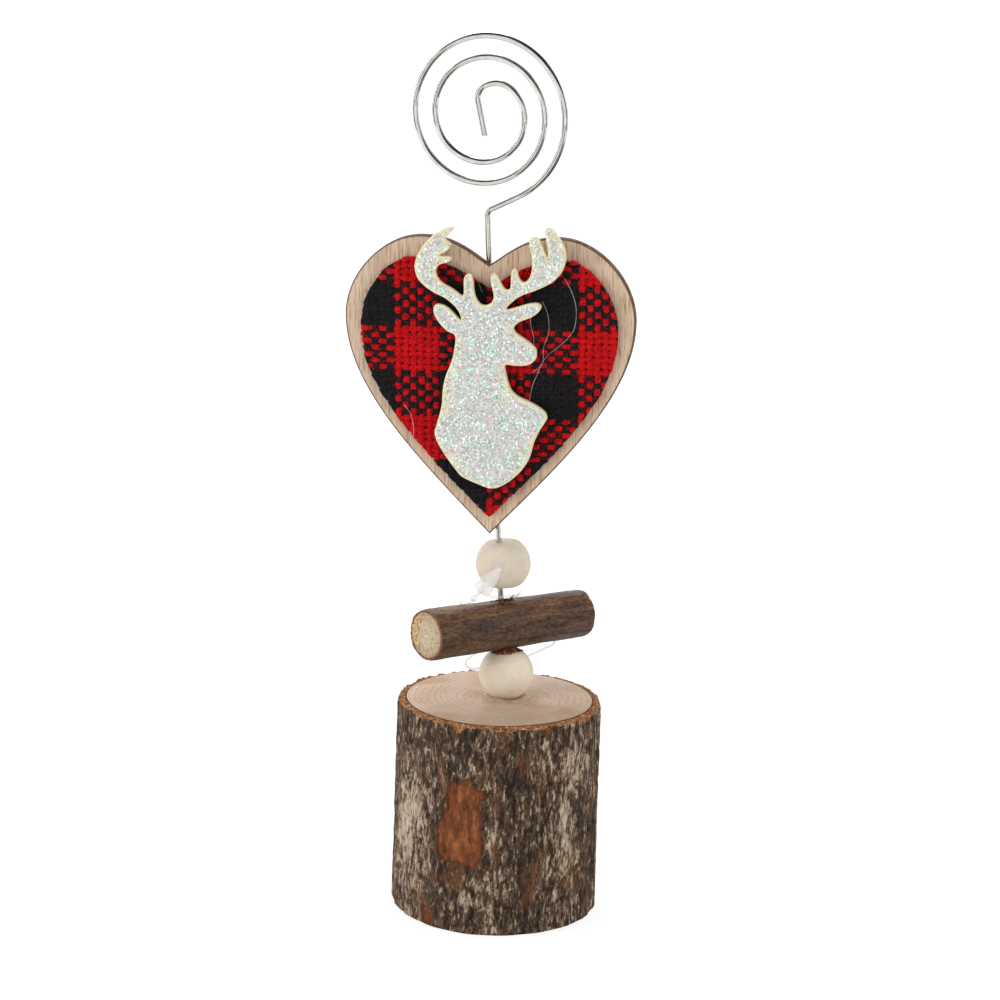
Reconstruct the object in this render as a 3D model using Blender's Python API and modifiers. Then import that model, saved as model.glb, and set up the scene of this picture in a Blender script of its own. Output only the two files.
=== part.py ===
"""Rustic memo clip holder: a bark-covered log foot carries a leaning wire that ends in a spiral clip.

Threaded on the wire are two turned beads with a loose cross-drilled twig between them. A plywood
heart with a woven patch and a foam stag is glued to the front of the wire, and a clear loop tag
hangs round the wire above the twig. Metres, +Z up; the heart and the spiral face -Y.
"""
import math

import bmesh
import bpy
from mathutils import Matrix, Vector

# Clearances
SEAT_GAP = 0.0003
LAYER_GAP = 0.00025

# Log foot: a sawn length of branch with its bark on
LOG_HEIGHT = 0.0549
LOG_TOP_DIAMETER = 0.0514
LOG_FOOT_DIAMETER = 0.0524
LOG_BARK = 0.0020
LOG_LOBES = ((2, 0.5, 0.008), (3, -0.9, 0.007), (5, 2.0, 0.004))
BARK_RIBS = 19
BARK_RIB_RISE = 0.00028
BARK_RIB_SWAY = 1.3
BARK_RIB_WAVE = 0.0690
SCAR_ANGLE = math.radians(-101.0)
SCAR_HEIGHT = 0.0295
SCAR_WIDTH = 0.0130
SCAR_LENGTH = 0.0245
SCAR_DEPTH = 0.00055

# Wire: one straight stem that leans to the left and winds into a flat spiral
WIRE_DIAMETER = 0.0016
STEM_FOOT = (0.0011, 0.0010)
STEM_LEAN = math.radians(3.6)
STEM_DEPTH = 0.0250
COIL_RADIUS = 0.02065
COIL_PITCH = 0.0052
COIL_TURNS = 2.0
COIL_SHIFT = 0.0002
COIL_YAW = math.radians(8.5)
COIL_ABOVE_HEART = 0.00885
TAIL_ANGLE = math.radians(-68.7)
STEM_BEND_RADIUS = 0.0020
EYE_ARCS = ((0.0095, math.radians(40)), (0.0063, math.radians(70)), (0.0036, math.radians(75)))
EYE_END = 0.0086
POINT_SPACING = 0.0018

# Turned beads: balls with flat ends and a bore much wider than the wire
BEAD_DIAMETER = 0.0140
LOWER_BEAD_HEIGHT = 0.0120
UPPER_BEAD_HEIGHT = 0.0112
BEAD_BORE = 0.0044
LOWER_BEAD_LIFT = 0.0004
LOWER_BEAD_SHIFT = 0.0008
UPPER_BEAD_SHIFT = 0.0010
BEAD_GLUE_LENGTH = 0.0050
BASE_GLUE_DIAMETER = 0.0124
BASE_GLUE_HEIGHT = 0.0014

# Twig: a bark-covered stick, cross-drilled, lying on the lower bead
TWIG_LENGTH = 0.0485
TWIG_NEAR_DIAMETER = 0.0131
TWIG_FAR_DIAMETER = 0.0123
TWIG_BARK = 0.0008
TWIG_BORE = 0.0048
TWIG_SHIFT = 0.0012
TWIG_TURN = math.radians(44.4)
TWIG_DIP = math.radians(3.4)
TWIG_PLAY = 0.0042

# Heart plaque and its woven patch
PLAQUE_WIDTH = 0.0731
PLAQUE_HEIGHT = 0.0755
PLAQUE_NOTCH = 0.0071
PLAQUE_LOBE_AT = 0.47
PLAQUE_THICKNESS = 0.0028
PLAQUE_TURN = math.radians(1.92)
PLAQUE_SHIFT = -0.00155
PLAQUE_ABOVE_BEAD = 0.0030
PATCH_WIDTH = 0.0649
PATCH_HEIGHT = 0.0654
PATCH_NOTCH = 0.0072
PATCH_LOBE_AT = 0.60
PATCH_THICKNESS = 0.0011
PATCH_ABOVE_TIP = 0.0045

# Foam stag and the hot-melt glue behind the pieces
STAG_HEIGHT = 0.0658
STAG_THICKNESS = 0.0020
STAG_ABOVE_TIP = 0.0330
GLUE_FILM = 0.0004
STAG_GLUE_DIAMETER = 0.0100
STAG_GLUE_AT = ((-0.0010, 0.0180), (0.0010, -0.0080))
WIRE_GLUE_WIDTH = 0.0090
WIRE_GLUE_LENGTH = 0.0160
WIRE_GLUE_HEIGHT = 0.0020
WIRE_GLUE_AT = (0.1854 * PLAQUE_HEIGHT, 0.7682 * PLAQUE_HEIGHT)

# Clear loop tag: a filament with a barbed head that snaps into a conical lock
FILAMENT_DIAMETER = 0.0007
LOCK_LENGTH = 0.0078
LOCK_FLANGE_DIAMETER = 0.0048
LOCK_FLANGE_HEIGHT = 0.0010
LOCK_CONE_DIAMETER = 0.0038
LOCK_TIP_DIAMETER = 0.0015
LOCK_BORE = 0.0022
LOCK_BORE_DEPTH = 0.0040
LOCK_CLEARANCE = 0.0002
LOCK_SIDE = -0.0031
LOCK_ABOVE_TWIG = 0.0116
LOCK_AXIS = Vector((0.0052, 0.0008, 0.0060)).normalized()
HEAD_BULB_DIAMETER = 0.0022
HEAD_SHANK_LENGTH = 0.0030

# Derived heights along the stem, measured from the log's sawn top
WIRE_RADIUS = WIRE_DIAMETER / 2
WIRE_WAY = WIRE_RADIUS + SEAT_GAP
BEAD_RADIUS = BEAD_DIAMETER / 2
BEAD_FLAT = math.sqrt(BEAD_RADIUS ** 2 - (LOWER_BEAD_HEIGHT / 2) ** 2)
LOWER_BEAD_MIDDLE = LOWER_BEAD_LIFT + LOWER_BEAD_HEIGHT / 2
TWIG_RADIUS = (TWIG_NEAR_DIAMETER + TWIG_FAR_DIAMETER) / 4
TWIG_HEIGHT = (LOWER_BEAD_LIFT + LOWER_BEAD_HEIGHT + SEAT_GAP + TWIG_RADIUS / math.cos(TWIG_DIP)
               + BEAD_FLAT * math.tan(TWIG_DIP))
UPPER_BEAD_FOOT = TWIG_HEIGHT + TWIG_RADIUS + TWIG_PLAY
UPPER_BEAD_MIDDLE = UPPER_BEAD_FOOT + UPPER_BEAD_HEIGHT / 2
PLAQUE_TIP = UPPER_BEAD_FOOT + UPPER_BEAD_HEIGHT + PLAQUE_ABOVE_BEAD
COIL_HEIGHT = PLAQUE_TIP + PLAQUE_HEIGHT + COIL_ABOVE_HEART + COIL_RADIUS

# Derived depths in front of the wire, all towards -Y
PLAQUE_BACK = -(WIRE_RADIUS + SEAT_GAP)
PATCH_BACK = PLAQUE_BACK - PLAQUE_THICKNESS - LAYER_GAP
STAG_GLUE_BACK = PATCH_BACK - PATCH_THICKNESS - LAYER_GAP
STAG_BACK = STAG_GLUE_BACK - GLUE_FILM - LAYER_GAP

# Half a heart as shares of its half width and height: each corner with its curve handles
HEART_TIP_OUT = (0.500, 0.248)
HEART_SIDE_HEIGHT = 0.729
HEART_SIDE_IN = 0.245
HEART_SIDE_OUT = 0.139
HEART_LOBE_HANDLE = 0.5
HEART_NOTCH_IN = (0.113, 0.034)

# Stag outline, in thousandths of a metre about the plaque's middle, clockwise from the left antler
LEFT_ANTLER = (
    (-8.1, 45.0), (-10.3, 42.3), (-9.0, 41.0), (-9.9, 39.3), (-11.8, 38.1), (-9.2, 37.8), (-9.4, 36.6),
    (-11.8, 35.8), (-12.8, 34.2), (-12.2, 32.4), (-10.9, 31.1), (-8.5, 29.8), (-5.9, 28.3),
)
BROW_TINES = (
    (-5.7, 32.2), (-5.0, 33.6), (-3.9, 33.5), (-3.4, 31.8), (-3.2, 29.4), (-2.5, 27.3), (-1.3, 26.1),
    (0.2, 26.1), (1.4, 27.0), (1.8, 28.6), (1.2, 31.3), (1.1, 33.5), (1.8, 34.0), (2.7, 33.2),
    (3.5, 31.6), (4.3, 30.4), (5.2, 30.0), (6.0, 30.7), (6.2, 34.3), (6.9, 35.3), (7.6, 34.5),
    (8.1, 32.9), (9.0, 32.0), (10.0, 32.3),
)
RIGHT_ANTLER = (
    (11.0, 33.8), (11.4, 36.3), (11.2, 38.8), (10.7, 41.0), (10.8, 42.6), (11.7, 43.2), (12.9, 42.8),
    (13.9, 40.8), (15.2, 38.4), (15.2, 40.7), (14.5, 44.7), (15.1, 45.5), (16.6, 44.9), (18.8, 41.8),
    (19.7, 39.2), (19.5, 36.8), (18.4, 34.2), (16.0, 31.9), (12.2, 30.0), (9.3, 28.9), (6.9, 27.4),
    (4.9, 25.2),
)
RIGHT_EAR_AND_MUZZLE = (
    (7.3, 25.7), (10.2, 26.6), (12.5, 26.9), (13.6, 26.2), (13.1, 24.8), (11.2, 23.3), (8.3, 22.1),
    (6.8, 20.6), (7.3, 19.3), (9.8, 17.6), (12.0, 15.8), (12.5, 14.3), (12.1, 12.6), (10.2, 11.3),
    (7.3, 11.1), (4.7, 11.2),
)
CHEST = (
    (4.7, 9.4), (5.2, 7.2), (6.1, 4.9), (7.9, 3.3), (11.2, 1.8), (14.1, 0.0), (15.1, -1.6), (14.7, -3.0),
    (13.1, -5.5), (11.7, -8.7), (10.9, -11.7), (9.3, -14.8), (6.4, -17.8), (3.5, -19.7), (1.1, -20.3),
)
BACK_AND_LEFT_EAR = (
    (-1.8, -19.5), (-6.1, -17.7), (-7.6, -16.2), (-9.9, -13.2), (-12.3, -9.4), (-13.2, -6.6), (-12.6, -4.1),
    (-11.4, 0.4), (-11.1, 4.4), (-10.4, 7.8), (-9.0, 11.3), (-8.2, 14.3), (-7.9, 18.1), (-9.9, 19.3),
    (-12.0, 21.4), (-13.3, 23.9), (-13.1, 25.5), (-12.0, 26.0), (-9.7, 25.1), (-6.6, 22.2), (-6.7, 23.7),
    (-8.0, 25.6), (-10.4, 27.5), (-13.8, 29.2),
)
OUTER_LEFT_ANTLER = (
    (-16.2, 31.0), (-17.6, 33.0), (-18.1, 35.3), (-17.4, 38.0), (-15.5, 41.0), (-12.8, 43.6), (-10.4, 44.9),
    (-9.0, 45.3),
)
STAG_OUTLINE = (LEFT_ANTLER + BROW_TINES + RIGHT_ANTLER + RIGHT_EAR_AND_MUZZLE + CHEST
                + BACK_AND_LEFT_EAR + OUTER_LEFT_ANTLER)
STAG_OUTLINE_HEIGHT = 65.8

# Course of the tag's filament in thousandths of a metre about the stem at the twig's height,
# from the head in the lock, over and behind the twig, round a slack loop and back to the lock
FILAMENT_ROUTE = (
    (-5.5, -10.7, 8.4), (-8.0, -7.5, 8.0), (-10.0, -1.9, 6.2), (-10.5, 1.8, 1.5), (-8.2, 5.1, -5.0),
    (-7.5, 6.8, -9.4), (-9.1, 6.8, -10.9), (-10.8, 6.3, -12.2), (-9.7, 6.5, -13.6), (-5.2, 8.9, -13.6),
    (1.7, 11.1, -12.6), (8.1, 13.6, -10.4), (11.0, 15.5, -8.8), (8.7, 17.5, -5.4), (4.5, 15.3, -1.2),
    (2.2, 11.0, 3.2), (3.7, 7.1, 6.6), (4.8, 2.3, 7.4), (3.6, -1.6, 8.0), (1.1, -5.0, 8.6),
    (-0.4, -8.0, 9.2),
)
FILAMENT_STEPS = 4
FILAMENT_END_GAP = 0.0003

for leftover in list(bpy.data.objects):
    bpy.data.objects.remove(leftover, do_unlink=True)

holder = bpy.data.collections.new("memo_clip_holder")
bpy.context.scene.collection.children.link(holder)
cutters = bpy.data.collections.new("cutters")
bpy.context.scene.collection.children.link(cutters)


def finish(name, colour, roughness, metallic=0.0):
    """A plain surface finish with one colour."""
    material = bpy.data.materials.new(name)
    material.use_nodes = True
    shader = material.node_tree.nodes["Principled BSDF"]
    shader.inputs["Base Color"].default_value = (*colour, 1.0)
    shader.inputs["Roughness"].default_value = roughness
    shader.inputs["Metallic"].default_value = metallic
    return material


END_GRAIN = finish("sawn_end_grain", (0.52, 0.36, 0.24), 0.85)
LOG_RIND = finish("grey_brown_bark", (0.16, 0.11, 0.08), 0.95)
BARE_WOOD = finish("bare_turned_wood", (0.76, 0.64, 0.50), 0.70)
PLYWOOD = finish("pale_plywood", (0.60, 0.45, 0.32), 0.75)
TWIG_RIND = finish("twig_bark", (0.20, 0.10, 0.07), 0.90)
PLATED_WIRE = finish("nickel_plated_wire", (0.72, 0.70, 0.68), 0.18, 1.0)
WOVEN_WOOL = finish("red_black_weave", (0.42, 0.02, 0.02), 0.95)
GLITTER_FOAM = finish("white_glitter_foam", (0.82, 0.82, 0.76), 0.45)
HOT_MELT = finish("clear_hot_melt", (0.80, 0.78, 0.70), 0.25)
CLEAR_PLASTIC = finish("clear_polypropylene", (0.85, 0.85, 0.83), 0.20)


def place(obj, material, parent=None, location=(0, 0, 0), rotation=None):
    """Give a new object its finish, its parent and its place in the holder."""
    for collection in list(obj.users_collection):
        collection.objects.unlink(obj)
    holder.objects.link(obj)
    obj.data.materials.clear()
    obj.data.materials.append(material)
    obj.parent = parent
    obj.location = location
    if rotation is not None:
        obj.rotation_mode = "QUATERNION"
        obj.rotation_quaternion = rotation
    return obj


def frame(name, parent, location, lean=0.0, yaw=0.0):
    """An empty that carries a group of pieces, leaning about Y (positive towards +X) or turned about Z."""
    empty = bpy.data.objects.new(name, None)
    holder.objects.link(empty)
    empty.empty_display_size = 0.01
    empty.parent = parent
    empty.location = location
    empty.rotation_euler = (0, lean, yaw)
    return empty


def cylinder_mesh(name, foot_radius, top_radius, length, segments):
    """A straight or tapered cylinder centred on its own origin, along Z."""
    shape = bmesh.new()
    bmesh.ops.create_cone(shape, cap_ends=True, segments=segments, radius1=foot_radius,
                          radius2=top_radius, depth=length)
    mesh = bpy.data.meshes.new(name)
    shape.to_mesh(mesh)
    shape.free()
    mesh.shade_smooth()
    mesh.set_sharp_from_angle(angle=math.radians(40))
    return bpy.data.objects.new(name, mesh)


def as_cutter(obj, parent, location, rotation=None):
    """Set an object up as a hidden cutting shape."""
    place(obj, BARE_WOOD, parent, location, rotation)
    holder.objects.unlink(obj)
    cutters.objects.link(obj)
    obj.hide_render = True
    obj.display_type = "WIRE"
    return obj


def cut(obj, cutter):
    """Cut one shape out of a piece."""
    step = obj.modifiers.new("cut_" + cutter.name, "BOOLEAN")
    step.operation = "DIFFERENCE"
    step.solver = "EXACT"
    step.object = cutter


def turned(name, profile, segments):
    """A closed (radius, height) profile, outer side top to bottom, turned once round Z."""
    mesh = bpy.data.meshes.new(name)
    points = [(radius, 0.0, height) for radius, height in profile]
    edges = [(i, (i + 1) % len(points)) for i in range(len(points))]
    mesh.from_pydata(points, edges, [])
    obj = bpy.data.objects.new(name, mesh)
    spin = obj.modifiers.new("turn", "SCREW")
    spin.steps = segments
    spin.render_steps = segments
    spin.use_merge_vertices = True
    spin.merge_threshold = 0.00001
    return obj


def sleeve(name, foot_radius, top_radius, wall, length, segments):
    """A tapered tube of even wall, centred on its own origin, along Z."""
    half = length / 2
    profile = (
        (top_radius, half), (foot_radius, -half), (foot_radius - wall, -half), (top_radius - wall, half),
    )
    return turned(name, profile, segments)


def plate(name, outline, thickness):
    """A flat outline in the XZ plane with its front face towards -Y, centred on its thickness."""
    curve = bpy.data.curves.new(name, "CURVE")
    curve.dimensions = "2D"
    curve.fill_mode = "BOTH"
    curve.extrude = thickness / 2
    spline = curve.splines.new("POLY")
    spline.points.add(len(outline) - 1)
    for point, (x, z) in zip(spline.points, outline):
        point.co = (x, z, 0.0, 1.0)
    spline.use_cyclic_u = True
    return bpy.data.objects.new(name, curve)


UPRIGHT = Matrix.Rotation(math.radians(90), 4, "X").to_quaternion()


def wire(name, points, diameter):
    """A round wire with flat ends along a list of points."""
    curve = bpy.data.curves.new(name, "CURVE")
    curve.dimensions = "3D"
    curve.bevel_depth = diameter / 2
    curve.bevel_resolution = 2
    curve.use_fill_caps = True
    spline = curve.splines.new("POLY")
    spline.points.add(len(points) - 1)
    for point, place_at in zip(spline.points, points):
        point.co = (*place_at, 1.0)
    spline.use_smooth = True
    return bpy.data.objects.new(name, curve)


stem = frame("stem_frame", None, (*STEM_FOOT, LOG_HEIGHT), -STEM_LEAN)
twig_pivot = frame("twig_pivot", stem, (0, 0, TWIG_HEIGHT))
heart = frame("heart_frame", stem, (PLAQUE_SHIFT, 0, PLAQUE_TIP), PLAQUE_TURN)
coil_frame = frame("coil_frame", stem, (0, 0, 0), yaw=-COIL_YAW)


def branch_share(angle):
    """Radius of the branch at an angle, as a share of its mean: it grew a little out of round."""
    return 1 + sum(share * math.cos(lobes * angle + phase) for lobes, phase, share in LOG_LOBES)


def bark_rise(angle, height):
    """How far the bark stands proud: upright ribs that sway, and a scar where a scale has come off."""
    sway = BARK_RIB_SWAY * math.sin(math.tau * height / BARK_RIB_WAVE + 2 * angle)
    across = math.remainder(angle - SCAR_ANGLE, math.tau) * LOG_TOP_DIAMETER / SCAR_WIDTH
    along = 2 * (height - SCAR_HEIGHT) / SCAR_LENGTH
    bare = min(1.0, max(0.0, (1.1 - math.hypot(across, along)) / 0.2))
    return BARK_RIB_RISE * math.cos(BARK_RIBS * angle + sway) * (1 - bare) - SCAR_DEPTH * bare


def branch_ring(radius, height, ribbed=False):
    """One level ring of points round the log."""
    ring = []
    for i in range(LOG_SEGMENTS):
        angle = math.tau * i / LOG_SEGMENTS
        reach = radius * branch_share(angle)
        if ribbed:
            reach += bark_rise(angle, height)
        ring.append((reach * math.cos(angle), reach * math.sin(angle), height))
    return ring


def skinned(name, rings, hollow):
    """A solid skinned over rings from the top down; a hollow one joins its last ring to its first."""
    count = LOG_SEGMENTS
    faces = []
    for r in range(len(rings) if hollow else len(rings) - 1):
        above = r * count
        below = (r + 1) % len(rings) * count
        for i in range(count):
            j = (i + 1) % count
            faces.append((above + i, below + i, below + j, above + j))
    if not hollow:
        faces.append(tuple(range(count)))
        faces.append(tuple(reversed(range((len(rings) - 1) * count, len(rings) * count))))
    mesh = bpy.data.meshes.new(name)
    mesh.from_pydata([point for ring in rings for point in ring], [], faces)
    mesh.shade_smooth()
    mesh.set_sharp_from_angle(angle=math.radians(40))
    return bpy.data.objects.new(name, mesh)


# Log foot: the sawn core is drilled for the stem and sits in its sleeve of ribbed bark
LOG_SEGMENTS = 5 * BARK_RIBS
LOG_LEVELS = 11
log_top = LOG_TOP_DIAMETER / 2
log_foot = LOG_FOOT_DIAMETER / 2
core_inset = LOG_BARK + SEAT_GAP
core_rings = [branch_ring(log_top - core_inset, LOG_HEIGHT), branch_ring(log_foot - core_inset, 0.0)]
log_core = skinned("log_core", core_rings, False)
place(log_core, END_GRAIN)
stem_hole_depth = STEM_DEPTH + SEAT_GAP
stem_hole = cylinder_mesh("stem_hole", WIRE_WAY, WIRE_WAY, 2 * stem_hole_depth, 16)
as_cutter(stem_hole, stem, (0, 0, 0))
cut(log_core, stem_hole)
bark_rings = []
for i in range(LOG_LEVELS + 1):
    down = i / LOG_LEVELS
    bark_rings.append(branch_ring(log_top + (log_foot - log_top) * down, LOG_HEIGHT * (1 - down), True))
bark_rings.append(branch_ring(log_foot - LOG_BARK, 0.0))
bark_rings.append(branch_ring(log_top - LOG_BARK, LOG_HEIGHT))
log_bark = skinned("log_bark", bark_rings, True)
place(log_bark, LOG_RIND)


def bead_profile(height):
    """Ball with flat ends and a straight bore, from the top rim down the outside and back."""
    half = height / 2
    sweep = math.asin(half / BEAD_RADIUS)
    bands = 12
    profile = [(BEAD_BORE / 2, half)]
    for i in range(bands + 1):
        angle = sweep - 2 * sweep * i / bands
        profile.append((BEAD_RADIUS * math.cos(angle), BEAD_RADIUS * math.sin(angle)))
    profile.append((BEAD_BORE / 2, -half))
    return profile


# Turned beads: both hang off centre, because their bores are wider than the wire
lower_bead = turned("lower_bead", bead_profile(LOWER_BEAD_HEIGHT), 32)
place(lower_bead, BARE_WOOD, stem, (LOWER_BEAD_SHIFT, 0, LOWER_BEAD_MIDDLE))
upper_bead = turned("upper_bead", bead_profile(UPPER_BEAD_HEIGHT), 32)
place(upper_bead, BARE_WOOD, stem, (UPPER_BEAD_SHIFT, 0, UPPER_BEAD_MIDDLE))

# Hot melt round the foot of the lower bead, shaped by the bead that was pressed into it
foot_along_x = LOWER_BEAD_SHIFT * math.cos(STEM_LEAN) - LOWER_BEAD_LIFT * math.sin(STEM_LEAN)
base_glue = cylinder_mesh("base_glue", BASE_GLUE_DIAMETER / 2, BEAD_FLAT + BASE_GLUE_HEIGHT,
                          BASE_GLUE_HEIGHT, 32)
place(base_glue, HOT_MELT, None,
      (STEM_FOOT[0] + foot_along_x, STEM_FOOT[1], LOG_HEIGHT + SEAT_GAP + BASE_GLUE_HEIGHT / 2))
bead_ball = bpy.data.meshes.new("bead_ball")
ball_shape = bmesh.new()
bmesh.ops.create_uvsphere(ball_shape, u_segments=32, v_segments=20, radius=BEAD_RADIUS + SEAT_GAP * 1.5)
ball_shape.to_mesh(bead_ball)
ball_shape.free()
bead_print = as_cutter(bpy.data.objects.new("bead_print", bead_ball), stem,
                       (LOWER_BEAD_SHIFT, 0, LOWER_BEAD_MIDDLE))
cut(base_glue, bead_print)

# Hot melt inside the upper bead's bore, beside the wire: it keeps the bead up off the twig
upper_bead_glue = cylinder_mesh("upper_bead_glue", BEAD_BORE / 2 - SEAT_GAP, BEAD_BORE / 2 - SEAT_GAP,
                                BEAD_GLUE_LENGTH, 24)
place(upper_bead_glue, HOT_MELT, stem,
      (UPPER_BEAD_SHIFT, 0, UPPER_BEAD_FOOT + SEAT_GAP + BEAD_GLUE_LENGTH / 2))
bead_wire_way = cylinder_mesh("bead_wire_way", WIRE_WAY, WIRE_WAY, 2 * BEAD_GLUE_LENGTH, 16)
as_cutter(bead_wire_way, stem, (0, 0, UPPER_BEAD_FOOT + BEAD_GLUE_LENGTH / 2))
cut(upper_bead_glue, bead_wire_way)

# Twig: sapwood core in its bark, with one hole drilled across both along the stem
TWIG_SEGMENTS = 32
twig_along = Vector((math.cos(TWIG_TURN) * math.cos(TWIG_DIP), math.sin(TWIG_TURN) * math.cos(TWIG_DIP),
                     -math.sin(TWIG_DIP)))
twig_turn = twig_along.to_track_quat("Z", "Y")
twig_middle = twig_along * TWIG_SHIFT
twig_inset = TWIG_BARK + SEAT_GAP
twig_core = cylinder_mesh("twig_core", TWIG_NEAR_DIAMETER / 2 - twig_inset,
                          TWIG_FAR_DIAMETER / 2 - twig_inset, TWIG_LENGTH, TWIG_SEGMENTS)
place(twig_core, END_GRAIN, twig_pivot, twig_middle, twig_turn)
twig_bark = sleeve("twig_bark", TWIG_NEAR_DIAMETER / 2, TWIG_FAR_DIAMETER / 2, TWIG_BARK, TWIG_LENGTH,
                   TWIG_SEGMENTS)
place(twig_bark, TWIG_RIND, twig_pivot, twig_middle, twig_turn)
twig_hole = cylinder_mesh("twig_hole", TWIG_BORE / 2, TWIG_BORE / 2, 4 * TWIG_RADIUS, 24)
as_cutter(twig_hole, twig_pivot, (twig_middle.x, twig_middle.y, 0))
cut(twig_core, twig_hole)
cut(twig_bark, twig_hole)


def spiral_point(angle):
    """Centre of the wire on the spiral, in the stem's XZ plane."""
    radius = COIL_RADIUS - COIL_PITCH * angle / math.tau
    return Vector((COIL_SHIFT + radius * math.cos(angle), COIL_HEIGHT + radius * math.sin(angle)))


def spiral_heading(angle):
    """Direction of the wire on the spiral, as an angle from the stem's X axis."""
    radius = COIL_RADIUS - COIL_PITCH * angle / math.tau
    return angle + math.pi / 2 + math.atan(COIL_PITCH / math.tau / radius)


def spiral_run(start, end):
    """Points along the spiral between two angles, about one spacing apart."""
    steps = max(2, math.ceil((end - start) * COIL_RADIUS / POINT_SPACING))
    return [spiral_point(start + (end - start) * i / steps) for i in range(steps + 1)]


def arc_run(start, heading, radius, sweep):
    """Points of an arc that leaves start along heading and turns left by sweep."""
    centre = start + radius * Vector((-math.sin(heading), math.cos(heading)))
    steps = max(3, math.ceil(radius * abs(sweep) / POINT_SPACING))
    run = []
    for i in range(1, steps + 1):
        angle = heading + sweep * i / steps
        run.append(centre + radius * Vector((math.sin(angle), -math.cos(angle))))
    return run


def stem_run():
    """Points from the foot in the log up to the bend under the spiral."""
    leave = spiral_point(TAIL_ANGLE)
    heading = spiral_heading(TAIL_ANGLE)
    meet = leave.y - math.tan(heading) * leave.x
    turn = math.pi / 2 - heading
    bend_start = Vector((0.0, meet - STEM_BEND_RADIUS * math.tan(turn / 2)))
    run = [Vector((0.0, -STEM_DEPTH)), bend_start]
    steps = 6
    for i in range(1, steps + 1):
        angle = turn * i / steps
        run.append(bend_start + STEM_BEND_RADIUS * Vector((1 - math.cos(angle), math.sin(angle))))
    return run


def eye_run():
    """Points from the end of the spiral round the eye to the straight end of the wire."""
    last = COIL_TURNS * math.tau
    point = spiral_point(last)
    heading = spiral_heading(last)
    run = []
    for radius, sweep in EYE_ARCS:
        run += arc_run(point, heading, radius, sweep)
        point = run[-1]
        heading += sweep
    run.append(point + EYE_END * Vector((math.cos(heading), math.sin(heading))))
    return run


# Wire: cut square on the left of the outer turn, where the free turns twist against the stem
TWIST_ANGLE = math.pi
half_seam = SEAT_GAP / 2 / COIL_RADIUS
stem_course = stem_run() + spiral_run(TAIL_ANGLE, TWIST_ANGLE - half_seam)
coil_course = spiral_run(TWIST_ANGLE + half_seam, COIL_TURNS * math.tau) + eye_run()
clip_stem = wire("clip_stem", [(p.x, 0.0, p.y) for p in stem_course], WIRE_DIAMETER)
place(clip_stem, PLATED_WIRE, coil_frame)
twist_at = spiral_point(TWIST_ANGLE)
twist_pivot = frame("twist_pivot", coil_frame, (twist_at.x, 0, twist_at.y))
coil_points = [(p.x - twist_at.x, 0.0, p.y - twist_at.y) for p in coil_course]
clip_coil = wire("clip_coil", coil_points, WIRE_DIAMETER)
place(clip_coil, PLATED_WIRE, twist_pivot)


def bezier_run(start, out, into, end, steps):
    """Points of one curve stretch between two corners, without its last point."""
    run = []
    for i in range(steps):
        t = i / steps
        s = 1 - t
        x = s ** 3 * start[0] + 3 * s * s * t * out[0] + 3 * s * t * t * into[0] + t ** 3 * end[0]
        z = s ** 3 * start[1] + 3 * s * s * t * out[1] + 3 * s * t * t * into[1] + t ** 3 * end[1]
        run.append((x, z))
    return run


def heart_outline(width, height, notch, lobe_at):
    """A heart standing on its tip at the origin, right half first; lobe_at is a share of the half width."""
    half = width / 2
    tip = (0.0, 0.0)
    side = (half, HEART_SIDE_HEIGHT * height)
    lobe = (lobe_at * half, height)
    dip = (0.0, height - notch)
    tip_out = (HEART_TIP_OUT[0] * half, HEART_TIP_OUT[1] * height)
    side_in = (half, side[1] - HEART_SIDE_IN * height)
    side_out = (half, side[1] + HEART_SIDE_OUT * height)
    lobe_in = (lobe[0] + HEART_LOBE_HANDLE * (half - lobe[0]), height)
    lobe_out = (lobe[0] - HEART_LOBE_HANDLE * lobe[0], height)
    dip_in = (HEART_NOTCH_IN[0] * half, dip[1] + HEART_NOTCH_IN[1] * height)
    right = bezier_run(tip, tip_out, side_in, side, 12)
    right += bezier_run(side, side_out, lobe_in, lobe, 8)
    right += bezier_run(lobe, lobe_out, dip_in, dip, 8)
    left = [(-x, z) for x, z in reversed(right[1:])]
    return right + [dip] + left


# Heart plaque: laser-cut plywood, with a smaller heart of woven cloth on its face
plaque_outline = heart_outline(PLAQUE_WIDTH, PLAQUE_HEIGHT, PLAQUE_NOTCH, PLAQUE_LOBE_AT)
plaque = plate("heart_plaque", plaque_outline, PLAQUE_THICKNESS)
place(plaque, PLYWOOD, heart, (0, PLAQUE_BACK - PLAQUE_THICKNESS / 2, 0), UPRIGHT)
patch_outline = heart_outline(PATCH_WIDTH, PATCH_HEIGHT, PATCH_NOTCH, PATCH_LOBE_AT)
patch = plate("plaid_patch", patch_outline, PATCH_THICKNESS)
place(patch, WOVEN_WOOL, heart, (0, PATCH_BACK - PATCH_THICKNESS / 2, PATCH_ABOVE_TIP), UPRIGHT)

# Foam stag, held off the cloth by two flat dabs of hot melt
stag_scale = STAG_HEIGHT / STAG_OUTLINE_HEIGHT
stag = plate("stag_cutout", [(x * stag_scale, z * stag_scale) for x, z in STAG_OUTLINE], STAG_THICKNESS)
place(stag, GLITTER_FOAM, heart, (0, STAG_BACK - STAG_THICKNESS / 2, STAG_ABOVE_TIP), UPRIGHT)
for name, (x, z) in zip(("stag_glue_upper", "stag_glue_lower"), STAG_GLUE_AT):
    dab = cylinder_mesh(name, STAG_GLUE_DIAMETER / 2, STAG_GLUE_DIAMETER / 2, GLUE_FILM, 24)
    place(dab, HOT_MELT, heart, (x, STAG_GLUE_BACK - GLUE_FILM / 2, STAG_ABOVE_TIP + z), UPRIGHT)


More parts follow.
